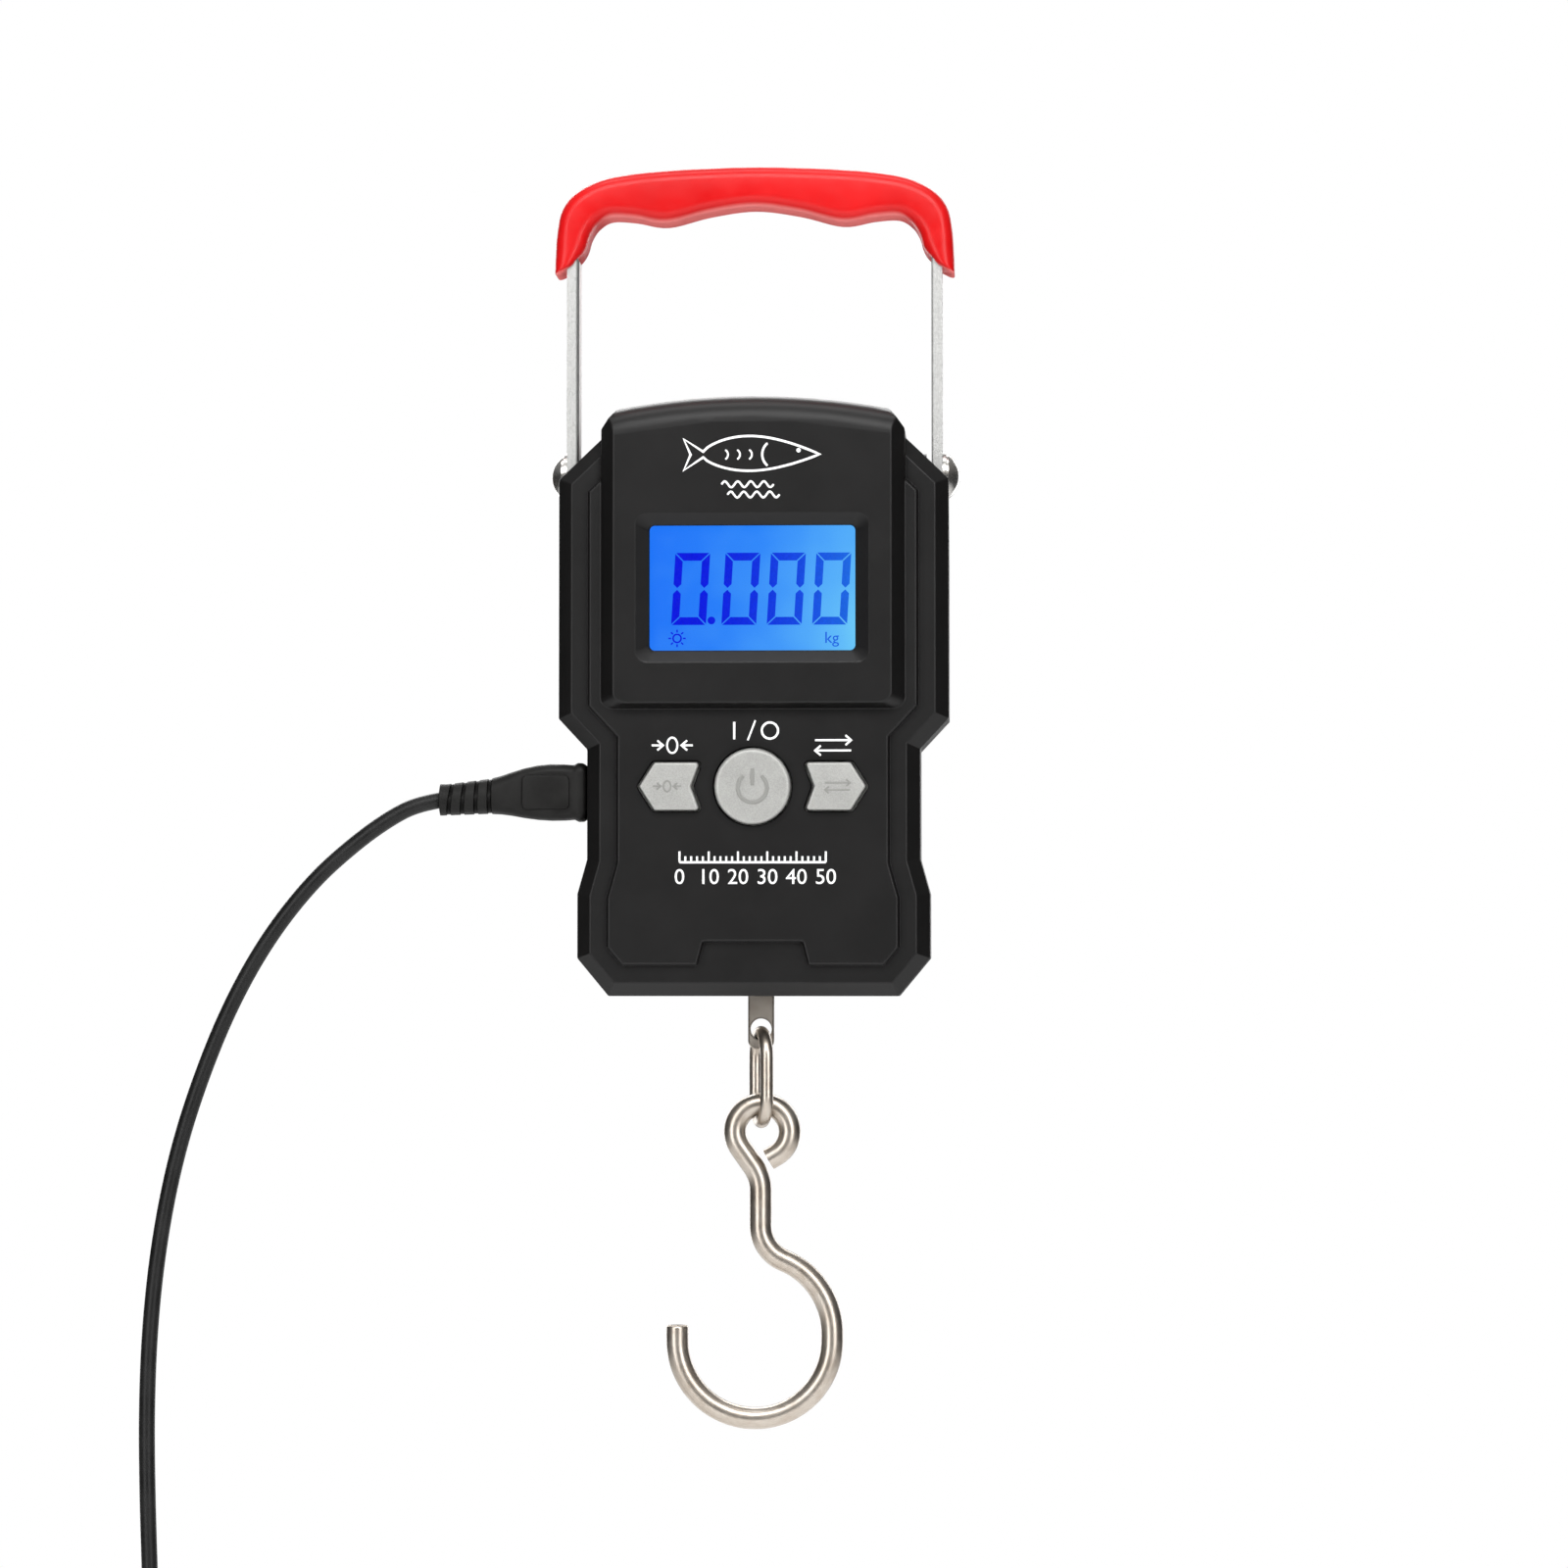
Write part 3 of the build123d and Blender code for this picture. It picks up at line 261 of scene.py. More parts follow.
def zinc_steel():
    """Zinc-plated strip: fine spangle and rolling streaks; a painted reflection on its inner faces, a
    dark line then bright.
    """
    g = Graph("strap_zinc")
    spangle = g.cells(0.5, g.stretched(1.0, 1.0, 0.6)).outputs["Color"]
    level = g.add("ShaderNodeSeparateColor", {"Color": spangle}).outputs["Green"]
    streak = g.noise(0.30, 3.0, 0.6, g.stretched(1.0, 1.0, 0.14))
    blend = g.maths("ADD", g.maths("MULTIPLY", level, 0.35), g.maths("MULTIPLY", streak, 0.65))
    base = g.mixed(g.ranged(blend, 0.0, 1.0, 0.28, 0.68), (0.40, 0.40, 0.39), (0.60, 0.60, 0.59))
    # painted dark reflection along the inner rim of the front face
    inner_x = limits("handle_strap")[1].x - STRAP_THICK
    painted_rim_reflection = g.ranged(g.maths("ABSOLUTE", g.along("X")), 0.8, 0.0, inner_x + 0.15, inner_x + 0.42)
    base = g.mixed(painted_rim_reflection, base, (0.08, 0.08, 0.08))
    # painted reflection on the rolled inner face: a dark line behind the sheared front edge, then bright
    # to the rear
    side = g.maths("MULTIPLY", g.maths("SIGN", g.along("X")), g.facing("X"))
    inner = g.ranged(side, 1.0, 0.0, -0.95, -0.75)
    depth = g.along("Y")
    line = g.ranged(depth, 0.0, 1.0, -1.2, -0.4)
    rolled = g.mixed(line, (0.03, 0.03, 0.03), (0.96, 0.96, 0.95))
    g.set(Base_Color=g.mixed(inner, base, rolled))
    g.set(Metallic=g.ranged(inner, 0.85, 0.0), Specular_IOR_Level=g.ranged(inner, 0.5, 0.1))
    g.set(Roughness=g.ranged(blend, 0.50, 0.36, 0.28, 0.68))
    g.set(Normal=g.bump(streak, 0.004, under=g.rounded(0.15)))
    return g.material


def plated(name, color, rough, painted_rim_mm=0.0):
    """Nickel plate: soft waviness, fine pits, faint tarnish, and dark rims of painted shade on a strip.
    """
    g = Graph(name)
    tarnish = g.ranged(g.noise(3.2, 3.0), 0.0, 1.0, 0.42, 0.72)
    dull = tuple(c * k for c, k in zip(color, (0.84, 0.80, 0.76)))
    base = g.mixed(tarnish, color, dull)
    if painted_rim_mm:
        # painted shade: the strip's rims darkened
        base = g.mixed(g.edge_mask(painted_rim_mm), base, tuple(c * 0.12 for c in color))
    g.set(Base_Color=base, Metallic=1.0)
    g.set(Roughness=g.ranged(g.noise(1.2, 3.0), rough - 0.02, rough + 0.04, 0.3, 0.75))
    g.set(Normal=g.bump(g.noise(2.4, 1.0), 0.012))
    return g.material


def steel(name, color, rough=0.35, metallic=1.0):
    """Plain machined or pressed steel or aluminium with fine directional marks."""
    g = Graph(name)
    marks = g.noise(0.25, 3.0, 0.6, g.stretched(1.0, 0.2, 1.0))
    dark = tuple(c * 0.72 for c in color)
    g.set(Base_Color=g.mixed(g.ranged(marks, 0.0, 1.0, 0.3, 0.7), dark, color), Metallic=metallic)
    g.set(Roughness=g.ranged(marks, rough - 0.08, rough + 0.10, 0.3, 0.7))
    g.set(Normal=g.bump(marks, 0.006, under=g.rounded(0.08)))
    return g.material


def rubber(name, color, rough=0.5, grain=0.10, gloss=0.5):
    """Soft moulded rubber or cable jacket, with painted shade darkening its slots and folds."""
    g = Graph(name)
    drift = g.noise(6.0, 3.0)
    lighter = tuple(min(1.0, c * 1.5 + 0.002) for c in color)
    base = g.mixed(g.ranged(drift, 0.0, 1.0, 0.35, 0.65), color, lighter)
    lit = g.painted_shade_mask(0.9)
    # painted shade: colour and gloss darkened inside slots and folds
    g.set(Base_Color=g.mixed(lit, tuple(c * 0.15 for c in color), base))
    g.set(Roughness=g.ranged(drift, rough - 0.06, rough + 0.08, 0.3, 0.7))
    g.set(Specular_IOR_Level=g.maths("MULTIPLY", lit, gloss))
    g.set(Normal=g.bump(g.noise(grain, 3.0), 0.004, under=g.rounded(0.15)))
    return g.material


def woven_tape(name, color):
    """Hook-and-loop tape: fine loops over a ribbed weave."""
    g = Graph(name)
    rib = g.noise(0.5, 2.0, 0.5, g.stretched(1.0, 1.0, 0.25))
    loops = g.cells(0.42).outputs["Distance"]
    height = g.maths("ADD", g.maths("MULTIPLY", loops, 0.6), g.maths("MULTIPLY", rib, 0.4))
    lighter = tuple(c * 2.2 for c in color)
    g.set(Base_Color=g.mixed(g.ranged(height, 0.0, 1.0, 0.2, 0.6), color, lighter), Roughness=0.85)
    g.set(Sheen_Weight=0.15, Specular_IOR_Level=0.25)
    g.set(Normal=g.bump(height, 0.06, under=g.rounded(0.2)))
    return g.material


def lcd_glow():
    """Backlit liquid crystal: blue, lighter towards the lamp at its right end."""
    g = Graph("lcd_backlit")
    low, high = limits("lcd_panel")
    across = g.ranged(g.along("X"), 0.0, 1.0, low.x + 3, high.x - 3)
    height = g.ranged(g.along("Z"), 1.0, 0.0, low.z + 3, high.z - 3)
    lamp = g.maths("POWER", across, 3.0)
    lamp = g.maths("MULTIPLY", lamp, g.ranged(height, 0.55, 1.0, 0.15, 0.75))
    cloud = g.ranged(g.noise(8.0, 1.0), -0.06, 0.06, 0.3, 0.7)
    base = g.mixed(across, (0.012, 0.175, 0.92), (0.026, 0.270, 0.95))
    color = g.mixed(g.maths("ADD", lamp, cloud), base, (0.16, 0.60, 0.93))
    g.set(Base_Color=(0.002, 0.004, 0.01, 1.0), Roughness=0.35, Specular_IOR_Level=0.08)
    g.set(Emission_Color=color, Emission_Strength=1.0)
    g.set(Normal=g.bump(g.noise(0.10, 1.0), 0.001))
    return g.material


def lcd_ink():
    """Driven segments: deep blue, lighter where the lamp shines through at the right."""
    g = Graph("lcd_segments_blue")
    low, high = limits("lcd_panel")
    across = g.ranged(g.along("X"), 0.0, 1.0, low.x + 6, high.x - 3)
    soft = g.maths("POWER", across, 2.6)
    speck = g.ranged(g.noise(0.5, 1.0), 0.94, 1.06, 0.3, 0.7)
    color = g.mixed(soft, (0.000, 0.006, 0.72), (0.012, 0.16, 0.74))
    g.set(Base_Color=(0.0, 0.0, 0.01, 1.0), Roughness=0.4, Specular_IOR_Level=0.08)
    g.set(Emission_Color=color, Emission_Strength=speck)
    return g.material


def window_clear():
    """Thin clear window: see-through, with a soft gloss that grows at a slant."""
    g = Graph("window_clear")
    clear = g.add("ShaderNodeBsdfTransparent", {"Color": (0.97, 0.985, 1.0, 1.0)})
    gloss = g.add("ShaderNodeBsdfGlossy", {"Roughness": g.ranged(g.noise(5.0), 0.03, 0.08)})
    slant = g.add("ShaderNodeLayerWeight", {"Blend": 0.12}).outputs["Fresnel"]
    g.show_mixed(g.maths("MULTIPLY", slant, 0.3), clear, gloss)
    return g.material


def print_ink():
    """White pad-printed ink: slightly uneven cover, matt."""
    g = Graph("ink_white")
    cover = g.noise(0.35, 4.0, 0.7)
    base = g.mixed(g.ranged(cover, 0.0, 1.0, 0.30, 0.48), (0.52, 0.52, 0.53), (0.90, 0.90, 0.90))
    g.set(Base_Color=base, Roughness=0.6)
    g.set(Normal=g.bump(cover, 0.004))
    return g.material


def board_green():
    """Circuit board under green solder mask, with copper traces showing faintly."""
    g = Graph("board_green")
    trace = g.add("ShaderNodeTexBrick", {
        "Vector": g.place, "Scale": 260.0, "Mortar Size": 0.02, "Mortar": (0.05, 0.30, 0.12, 1),
        "Color1": (0.012, 0.14, 0.05, 1), "Color2": (0.010, 0.11, 0.04, 1),
    })
    g.set(Base_Color=trace.outputs["Color"], Roughness=g.ranged(g.noise(1.5), 0.25, 0.45))
    g.set(Normal=g.bump(trace.outputs["Fac"], 0.02))
    return g.material


def foam_tape():
    """Off-white double-sided foam with open cells."""
    g = Graph("tape_foam")
    cell = g.cells(0.4).outputs["Distance"]
    g.set(Base_Color=g.mixed(g.ranged(cell, 0.0, 1.0, 0.0, 0.6), (0.80, 0.80, 0.76), (0.55, 0.55, 0.52)))
    g.set(Roughness=0.9, Normal=g.bump(cell, 0.05))
    return g.material


# ---------------- mesh helpers


def finish_piece(piece, material, body, *nodes, slot=None):
    """Gives a new piece its material, its body and the CAD nodes it stands for."""
    piece.data.materials.append(material)
    bpy.context.scene.collection.objects.link(piece)
    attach(piece, body)
    if nodes:
        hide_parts(*nodes)


def solid(name, points_and_faces, sharp=40):
    """A mesh object from points in millimetres from the pivot, its normals outward."""
    points, faces = points_and_faces
    mesh = bpy.data.meshes.new(name)
    mesh.from_pydata([at(*p) for p in points], [], faces)
    shape = bmesh.new()
    shape.from_mesh(mesh)
    bmesh.ops.recalc_face_normals(shape, faces=shape.faces)
    shape.to_mesh(mesh)
    shape.free()
    mesh.shade_smooth()
    mesh.set_sharp_from_angle(angle=radians(sharp))
    return bpy.data.objects.new(name, mesh)


def lofted(rings, closed=False):
    """Points and faces of a solid through rings of equal count, capped unless it is closed."""
    count = len(rings[0])
    points = [p for ring in rings for p in ring]
    faces = []
    pairs = len(rings) if closed else len(rings) - 1
    for level in range(pairs):
        lower, upper = level * count, (level + 1) % len(rings) * count
        for k in range(count):
            n = (k + 1) % count
            faces.append((lower + k, lower + n, upper + n, upper + k))
    if not closed:
        faces.append(tuple(range(count)))
        faces.append(tuple(range(len(points) - count, len(points))))
    return points, faces


def joined(parts):
    """Several (points, faces) as one."""
    points, faces = [], []
    for more_points, more_faces in parts:
        base = len(points)
        points += more_points
        faces += [tuple(base + k for k in face) for face in more_faces]
    return points, faces


def inset(outline, amount):
    """A counter-clockwise outline moved inwards, each corner along its mitre."""
    moved = []
    count = len(outline)
    for k, (x, z) in enumerate(outline):
        ax, az = outline[k - 1]
        bx, bz = outline[(k + 1) % count]
        first = Vector((x - ax, z - az)).normalized()
        second = Vector((bx - x, bz - z)).normalized()
        normal_a, normal_b = Vector((-first.y, first.x)), Vector((-second.y, second.x))
        mitre = normal_a + normal_b
        mitre /= max(0.35, mitre.dot(normal_a))
        moved.append((x + mitre.x * amount, z + mitre.y * amount))
    return moved


def box_outline(left, foot, right, top):
    return [(left, foot), (right, foot), (right, top), (left, top)]


def rounded_corners(corners, radius, steps=5):
    """A closed outline with each corner replaced by an arc of this radius."""
    outline = []
    count = len(corners)
    for k, corner in enumerate(corners):
        here = Vector(corner)
        before, after = Vector(corners[k - 1]) - here, Vector(corners[(k + 1) % count]) - here
        size = radius[k] if isinstance(radius, (list, tuple)) else radius
        half = before.angle(after) / 2
        reach = min(size / tan(half), 0.45 * before.length, 0.45 * after.length)
        size = reach * tan(half)
        start, end = here + before.normalized() * reach, here + after.normalized() * reach
        centre = here + (before.normalized() + after.normalized()).normalized() * (size / sin(half))
        turn_a, turn_b = start - centre, end - centre
        sweep = turn_a.angle_signed(turn_b)
        angle = atan2(turn_a.y, turn_a.x)
        for step in range(steps + 1):
            now = angle - sweep * step / steps
            outline.append((centre.x + size * cos(now), centre.y + size * sin(now)))
    return outline


def circle(radius, count=96, x=0.0, z=0.0):
    turns = [2 * pi * k / count for k in range(count)]
    return [(x + radius * cos(t), z + radius * sin(t)) for t in turns]


def rounded_slab(outline, rear, front, radius, steps=5):
    """A plate from y = rear forward to y = front, its front rim rounded."""
    rings = [[(x, rear, z) for x, z in outline]]
    for step in range(steps + 1):
        turn = pi / 2 * step / steps
        depth = front + radius * (1 - sin(turn))
        rings.append([(x, depth, z) for x, z in inset(outline, radius * (1 - cos(turn)))])
    return lofted(rings)


def ribbon(line, width, rear, front, closed=False):
    """A flat stroke of even width along a line of (x, z) points."""
    count = len(line)
    sides = []
    for k, (x, z) in enumerate(line):
        before = line[k - 1] if closed or k > 0 else None
        after = line[(k + 1) % count] if closed or k < count - 1 else None
        first = Vector((x - before[0], z - before[1])).normalized() if before else None
        second = Vector((after[0] - x, after[1] - z)).normalized() if after else None
        first, second = first or second, second or first
        mitre = Vector((-first.y - second.y, first.x + second.x))
        mitre /= max(0.4, mitre.dot(Vector((-first.y, first.x))))
        reach = mitre * (width / 2)
        sides.append(((x + reach.x, z + reach.y), (x - reach.x, z - reach.y)))
    rings = []
    for (ax, az), (bx, bz) in sides:
        rings.append([(ax, rear, az), (ax, front, az), (bx, front, bz), (bx, rear, bz)])
    return lofted(rings, closed)


def tile(corners, rear, front):
    """A flat polygon of (x, z) corners with a little thickness."""
    return lofted([[(x, rear, z) for x, z in corners], [(x, front, z) for x, z in corners]])


def arc(x, z, radius, start, end, count):
    """Points on an arc, angles in degrees from +X."""
    turns = [radians(start + (end - start) * k / count) for k in range(count + 1)]
    return [(x + radius * cos(t), z + radius * sin(t)) for t in turns]


def spline_points(knots, count):
    """Points on a Catmull-Rom curve through the knots, count to each span."""
    ends = [knots[0] * 2 - knots[1]] + list(knots) + [knots[-1] * 2 - knots[-2]]
    made = []
    for k in range(1, len(ends) - 2):
        a, b, c, d = ends[k - 1], ends[k], ends[k + 1], ends[k + 2]
        for step in range(count):
            t = step / count
            made.append(
                0.5 * (b * 2 + (c - a) * t + (a * 2 - b * 5 + c * 4 - d) * t * t
                       + (b * 3 - a - c * 3 + d) * t * t * t)
            )
    made.append(knots[-1].copy())
    return made


def soften(node, width_mm, clamp=False):
    """Rounds a CAD node's sharp edges with modifiers, after merging its flat triangles."""
    piece = frame["nodes"][node]
    weld = piece.modifiers.new("weld", "WELD")
    weld.merge_threshold = 1e-6
    flat = piece.modifiers.new("merge_flat", "DECIMATE")
    flat.decimate_type = "DISSOLVE"
    flat.angle_limit = radians(0.8)
    bevel = piece.modifiers.new("rounded_edges", "BEVEL")
    bevel.width = width_mm * MM
    bevel.segments = 2
    bevel.limit_method = "ANGLE"
    bevel.angle_limit = radians(32)
    bevel.use_clamp_overlap = clamp
    bevel.harden_normals = True
    bevel.miter_outer = "MITER_ARC"


def coat(material, *nodes):
    """Gives CAD nodes a material."""
    for name in nodes:
        mesh = frame["nodes"][name].data
        mesh.materials.clear()
        mesh.materials.append(material)


# ---------------- housing print

POD_FACE = limits("front_shell")[0].y
POD_RISE = 3.0
PLATE_FACE = POD_FACE + POD_RISE
INK_BACK, INK_PROUD = 0.02, 0.035


def wave(start, end, level, swell, count, width, rear, front):
    """A wavy stroke of this many crests."""
    shares = [k / (12 * count) for k in range(12 * count + 1)]
    line = [(start + (end - start) * t, level + swell * sin(2 * pi * count * t)) for t in shares]
    return ribbon(line, width, rear, front)


def fish_mark(rear, front):
    """A plain fish outline with gill, fins and eye, over two lines of waves."""
    middle, root, nose, tall, stroke, count = 2.9, -9.0, 12.4, 3.1, 0.42, 26
    back = []
    for k in range(count + 1):
        share = k / count
        depth = 0.55 * (1 - share) + tall * sin(pi * share ** 0.8) ** 0.9
        back.append((root + (nose - root) * share, middle + depth * (1 if k < count else 0)))
    belly = [(x, 2 * middle - 0.88 * (z - middle) - middle) for x, z in reversed(back[:-1])]
    tail = [(-12.6, middle - 2.9), (-11.3, middle), (-12.6, middle + 2.9)]
    parts = [ribbon(back + belly + tail, stroke, rear, front, closed=True)]
    parts.append(ribbon(arc(4.6, middle, 2.7, 130, 230, 14), stroke, rear, front))
    parts.append(tile(circle(0.40, 20, 8.6, middle + 0.75), rear, front))
    for x in (-4.5, -2.3, -0.1):
        parts.append(ribbon(arc(x - 0.9, middle, 1.0, -60, 60, 8), 0.32, rear, front))
    for row, shift in ((0, 0.0), (1, 1.1)):
        parts.append(wave(-5.6 + shift, 4.0 + shift, -2.6 - 1.9 * row, 0.55, 4, 0.36, rear, front))
    return parts


def arrow(tip_x, tail_x, z, width, rear, front, size):
    """A small arrow along X."""
    way = 1 if tip_x > tail_x else -1
    barb_x, barb_z = tip_x - way * 1.1 * size, 0.95 * size
    head = [(barb_x, z + barb_z), (tip_x, z), (barb_x, z - barb_z)]
    shaft = [(tail_x, z), (tip_x - way * 0.35 * size, z)]
    return [ribbon(head, width, rear, front), ribbon(shaft, width, rear, front)]


KEY_BOXES = {side: limits(f"{side}_button") for side in ("tare", "power", "unit")}
KEY_X = {side: (low.x + high.x) / 2 for side, (low, high) in KEY_BOXES.items()}
KEY_Z = (KEY_BOXES["power"][0].z + KEY_BOXES["power"][1].z) / 2
LABEL_RISE, POWER_LABEL_RISE = 7.6, 10.3


def tare_mark(x, z, width, rear, front, size):
    """Arrows closing on a zero."""
    zero = [(x + px, z + 1.5 * pz) for px, pz in circle(size, 28)]
    parts = [ribbon(zero, width, rear, front, closed=True)]
    parts += arrow(x - 1.8 * size, x - 4.0 * size, z, width, rear, front, size)
    parts += arrow(x + 1.8 * size, x + 4.0 * size, z, width, rear, front, size)
    return parts


def power_mark(x, z, width, rear, front):
    """A bar, a slash and a ring."""
    parts = [ribbon([(x - 3.4, z - 1.6), (x - 3.4, z + 1.6)], width, rear, front)]
    parts.append(ribbon([(x - 0.9, z - 1.8), (x + 0.5, z + 1.9)], width * 0.8, rear, front))
    parts.append(ribbon(circle(1.5, 32, x + 3.2, z), width, rear, front, closed=True))
    return parts


def unit_mark(x, z, width, rear, front, size):
    """Two arrows passing each other."""
    high, low, reach = z + 0.95 * size, z - 1.05 * size, 3.5 * size
    return (arrow(x + reach, x - reach, high, width, rear, front, size)
            + arrow(x - reach, x + reach, low, width, rear, front, size))


def label_marks(rear, front):
    """The signs printed above the three keys."""
    rise = KEY_Z + LABEL_RISE
    return (tare_mark(KEY_X["tare"] + 0.6, rise, 0.36, rear, front, 0.95)
            + power_mark(KEY_X["power"], KEY_Z + POWER_LABEL_RISE, 0.40, rear, front)
            + unit_mark(KEY_X["unit"] - 0.6, rise, 0.36, rear, front, 0.95))


RULER_Z, RULER_HALF, RULER_STEPS = -72.2, 13.5, 25


def ruler_marks(rear, front):
    """A graduated line, a longer tick at every fifth step."""
    parts = [ribbon([(-RULER_HALF, RULER_Z), (RULER_HALF, RULER_Z)], 0.42, rear, front)]
    for k in range(RULER_STEPS + 1):
        x = -RULER_HALF + 2 * RULER_HALF * k / RULER_STEPS
        tall = 2.0 if k % 5 == 0 else 1.1
        parts.append(ribbon([(x, RULER_Z), (x, RULER_Z + tall)], 0.36, rear, front))
    return parts


def number(text, x, z, size, face, material, name, proud=INK_PROUD, slot=None):
    """Upright figures on a front face of the housing, from the built-in font."""
    curve = bpy.data.curves.new(name, "FONT")
    curve.body = text
    curve.size = size * MM
    curve.align_x = "CENTER"
    curve.extrude = 0.5 * (INK_BACK + proud) * MM
    curve.resolution_u = 4
    piece = bpy.data.objects.new(name, curve)
    piece.location = at(x, face + (INK_BACK - proud) / 2, z)
    piece.rotation_euler = (pi / 2, 0, 0)
    bpy.context.scene.collection.objects.link(piece)
    bpy.context.view_layer.update()
    mesh = bpy.data.meshes.new_from_object(piece.evaluated_get(bpy.context.evaluated_depsgraph_get()))
    mesh.transform(piece.matrix_world)
    mesh.materials.clear()
    bpy.data.objects.remove(piece)
    finish_piece(bpy.data.objects.new(name, mesh), material, "housing", slot=slot)


def housing_print(material):
    """Emblem, key labels and ruler, with the ruler's figures from 0 to 50."""
    prints = {
        "print_emblem": (fish_mark, POD_FACE),
        "print_key_labels": (label_marks, PLATE_FACE),
        "print_ruler": (ruler_marks, PLATE_FACE),
    }
    for name, (parts_of, face) in prints.items():
        print_mesh = joined(parts_of(face + INK_BACK, face - INK_PROUD))
        finish_piece(solid(name, print_mesh), material, "housing")
    for k in range(6):
        x = -RULER_HALF + 2 * RULER_HALF * k / 5
        number(str(10 * k), x, RULER_Z - 4.0, 4.0, PLATE_FACE, material, f"print_figure_{k}")


# ---------------- display

LCD_FRONT = limits("lcd_panel")[0].y
DIGIT_WIDE, DIGIT_TALL, SEGMENT, SLANT = 5.0, 11.9, 1.45, 0.06
DIGIT_FOOT = -27.6
DIGIT_X = (-11.85, -2.55, 5.85, 14.25)


def slanted(points, foot):
    return [(x + (z - foot) * SLANT, z) for x, z in points]


def digit_zero(x):
    """The six lit segments of a seven-segment nought, centred on x."""
    half, tall, s, gap = DIGIT_WIDE / 2, DIGIT_TALL, SEGMENT / 2, 0.16
    low, mid, top = DIGIT_FOOT, DIGIT_FOOT + tall / 2, DIGIT_FOOT + tall
    segments = []
    for level, way in ((top, -1), (low, 1)):
        segments.append([
            (x - half - s + gap, level - way * s), (x + half + s - gap, level - way * s),
            (x + half - s - gap, level + way * s), (x - half + s + gap, level + way * s),
        ])
    for side in (-1, 1):
        edge = x + side * half
        for near, far, way in ((top, mid, -1), (low, mid, 1)):
            segments.append([
                (edge + side * s, near - way * (s - gap)), (edge - side * s, near + way * (s + gap)),
                (edge - side * s, far - way * (s + gap)), (edge, far - way * gap),
                (edge + side * s, far - way * (s + gap)),
            ])
    return [slanted(points, low) for points in segments]


def sun_mark(x, z, rear, front):
    """Backlight sign: a ring with eight rays."""
    parts = [ribbon(circle(0.75, 24, x, z), 0.28, rear, front, closed=True)]
    for k in range(8):
        turn = pi / 4 * k
        ray = [(x + r * cos(turn), z + r * sin(turn)) for r in (1.1, 1.6)]
        parts.append(ribbon(ray, 0.26, rear, front))
    return parts


def display(blue, segment_blue):
    """The lit panel with four noughts, a decimal point, the backlight sign and the unit."""
    rear, front = LCD_FRONT + 0.01, LCD_FRONT - 0.03
    parts = []
    for x in DIGIT_X:
        parts += [tile(points, rear, front) for points in digit_zero(x)]
    dot_x = DIGIT_X[0] + DIGIT_WIDE / 2 + 1.7
    parts.append(tile(circle(0.72, 24, dot_x, DIGIT_FOOT + 0.1), rear, front))
    parts += sun_mark(-14.0, -30.8, rear, front)
    finish_piece(solid("lcd_segments", joined(parts)), segment_blue, "housing", slot="lcd_glass")
    number("kg", 14.6, -31.7, 3.0, LCD_FRONT, segment_blue, "lcd_unit_sign", 0.03, "lcd_glass")
    coat(blue, "lcd_panel")


# ---------------- keys

FLANGE_THICK, FLANGE_REACH = 0.4, 0.85
SIDE_KEYS = {-1: "tare", 1: "unit"}


def key_relief(parts, material, name, body):
    """A raised sign moulded on a key's face; its darker grey is painted shade."""
    finish_piece(solid(name, joined(parts), 30), material, body, slot="key_plastic")


def power_key(material, relief):
    """Round key: dished face, rolled rim, raised power sign."""
    low, high = KEY_BOXES["power"]
    front, rear = low.y, high.y
    radius, flange, rim, hub = 7.0, (high.x - low.x) / 2, 0.7, 0.02
    profile = [(hub, front + 0.10), (3.0, front + 0.07), (5.4, front + 0.02), (6.1, front)]
    for k in range(1, 7):
        turn = pi / 2 * k / 6
        profile.append((radius - rim * (1 - sin(turn)), front + rim * (1 - cos(turn))))
    step = rear - FLANGE_THICK
    profile += [(radius, step), (flange, step), (flange, rear), (hub, rear)]
    rings = [[(x, y, KEY_Z + z) for x, z in circle(r)] for r, y in profile]
    finish_piece(solid("power_key_cap", lofted(rings), 50), material, "power_key", "power_button")
    top, foot, stroke = front - 0.10, front + 0.2, 0.62
    ring = arc(0, KEY_Z - 0.25, 2.7, 128, 412, 40)
    bar = [(0, KEY_Z + 0.2), (0, KEY_Z + 3.3)]
    parts = [ribbon(line, stroke, foot, top) for line in (ring, bar)]
    key_relief(parts, relief, "power_key_sign", "power_key")


def arrow_outline(side):
    """Front outline of an arrow key, counter-clockwise, from its CAD node's box."""
    low, high = KEY_BOXES[SIDE_KEYS[side]]
    flange = 0.9
    tall = (high.z - low.z) / 2 - flange
    outer = max(abs(low.x), abs(high.x)) - flange * 1.22
    inner = min(abs(low.x), abs(high.x)) + flange
    shoulder, notch = outer - 2.8, inner + 1.6
    right = [(outer, KEY_Z), (shoulder, KEY_Z + tall), (inner, KEY_Z + tall),
             (notch, KEY_Z), (inner, KEY_Z - tall), (shoulder, KEY_Z - tall)]
    corners = right if side > 0 else [(-x, z) for x, z in reversed(right)]
    return rounded_corners(corners, 0.5, 4)


def arrow_key(side, material, relief):
    """Arrow key: rounded cap on a flange behind the housing's wall, with its raised sign."""
    name = SIDE_KEYS[side]
    low, high = KEY_BOXES[name]
    front, rear = low.y, high.y
    outline = arrow_outline(side)
    cap = rounded_slab(outline, rear - FLANGE_THICK / 2, front, 0.45)
    flange = tile(inset(outline, -FLANGE_REACH), rear, rear - FLANGE_THICK)
    piece = solid(f"{name}_key_cap", joined([cap, flange]), 50)
    finish_piece(piece, material, f"{name}_key", f"{name}_button")
    top, foot = front - 0.07, front + 0.15
    middle = side * (min(abs(low.x), abs(high.x)) + 6.8)
    marks = tare_mark if side < 0 else unit_mark
    parts = marks(middle, KEY_Z, 0.32, foot, top, 0.66)
    key_relief(parts, relief, f"{name}_key_sign", f"{name}_key")


# ---------------- grip

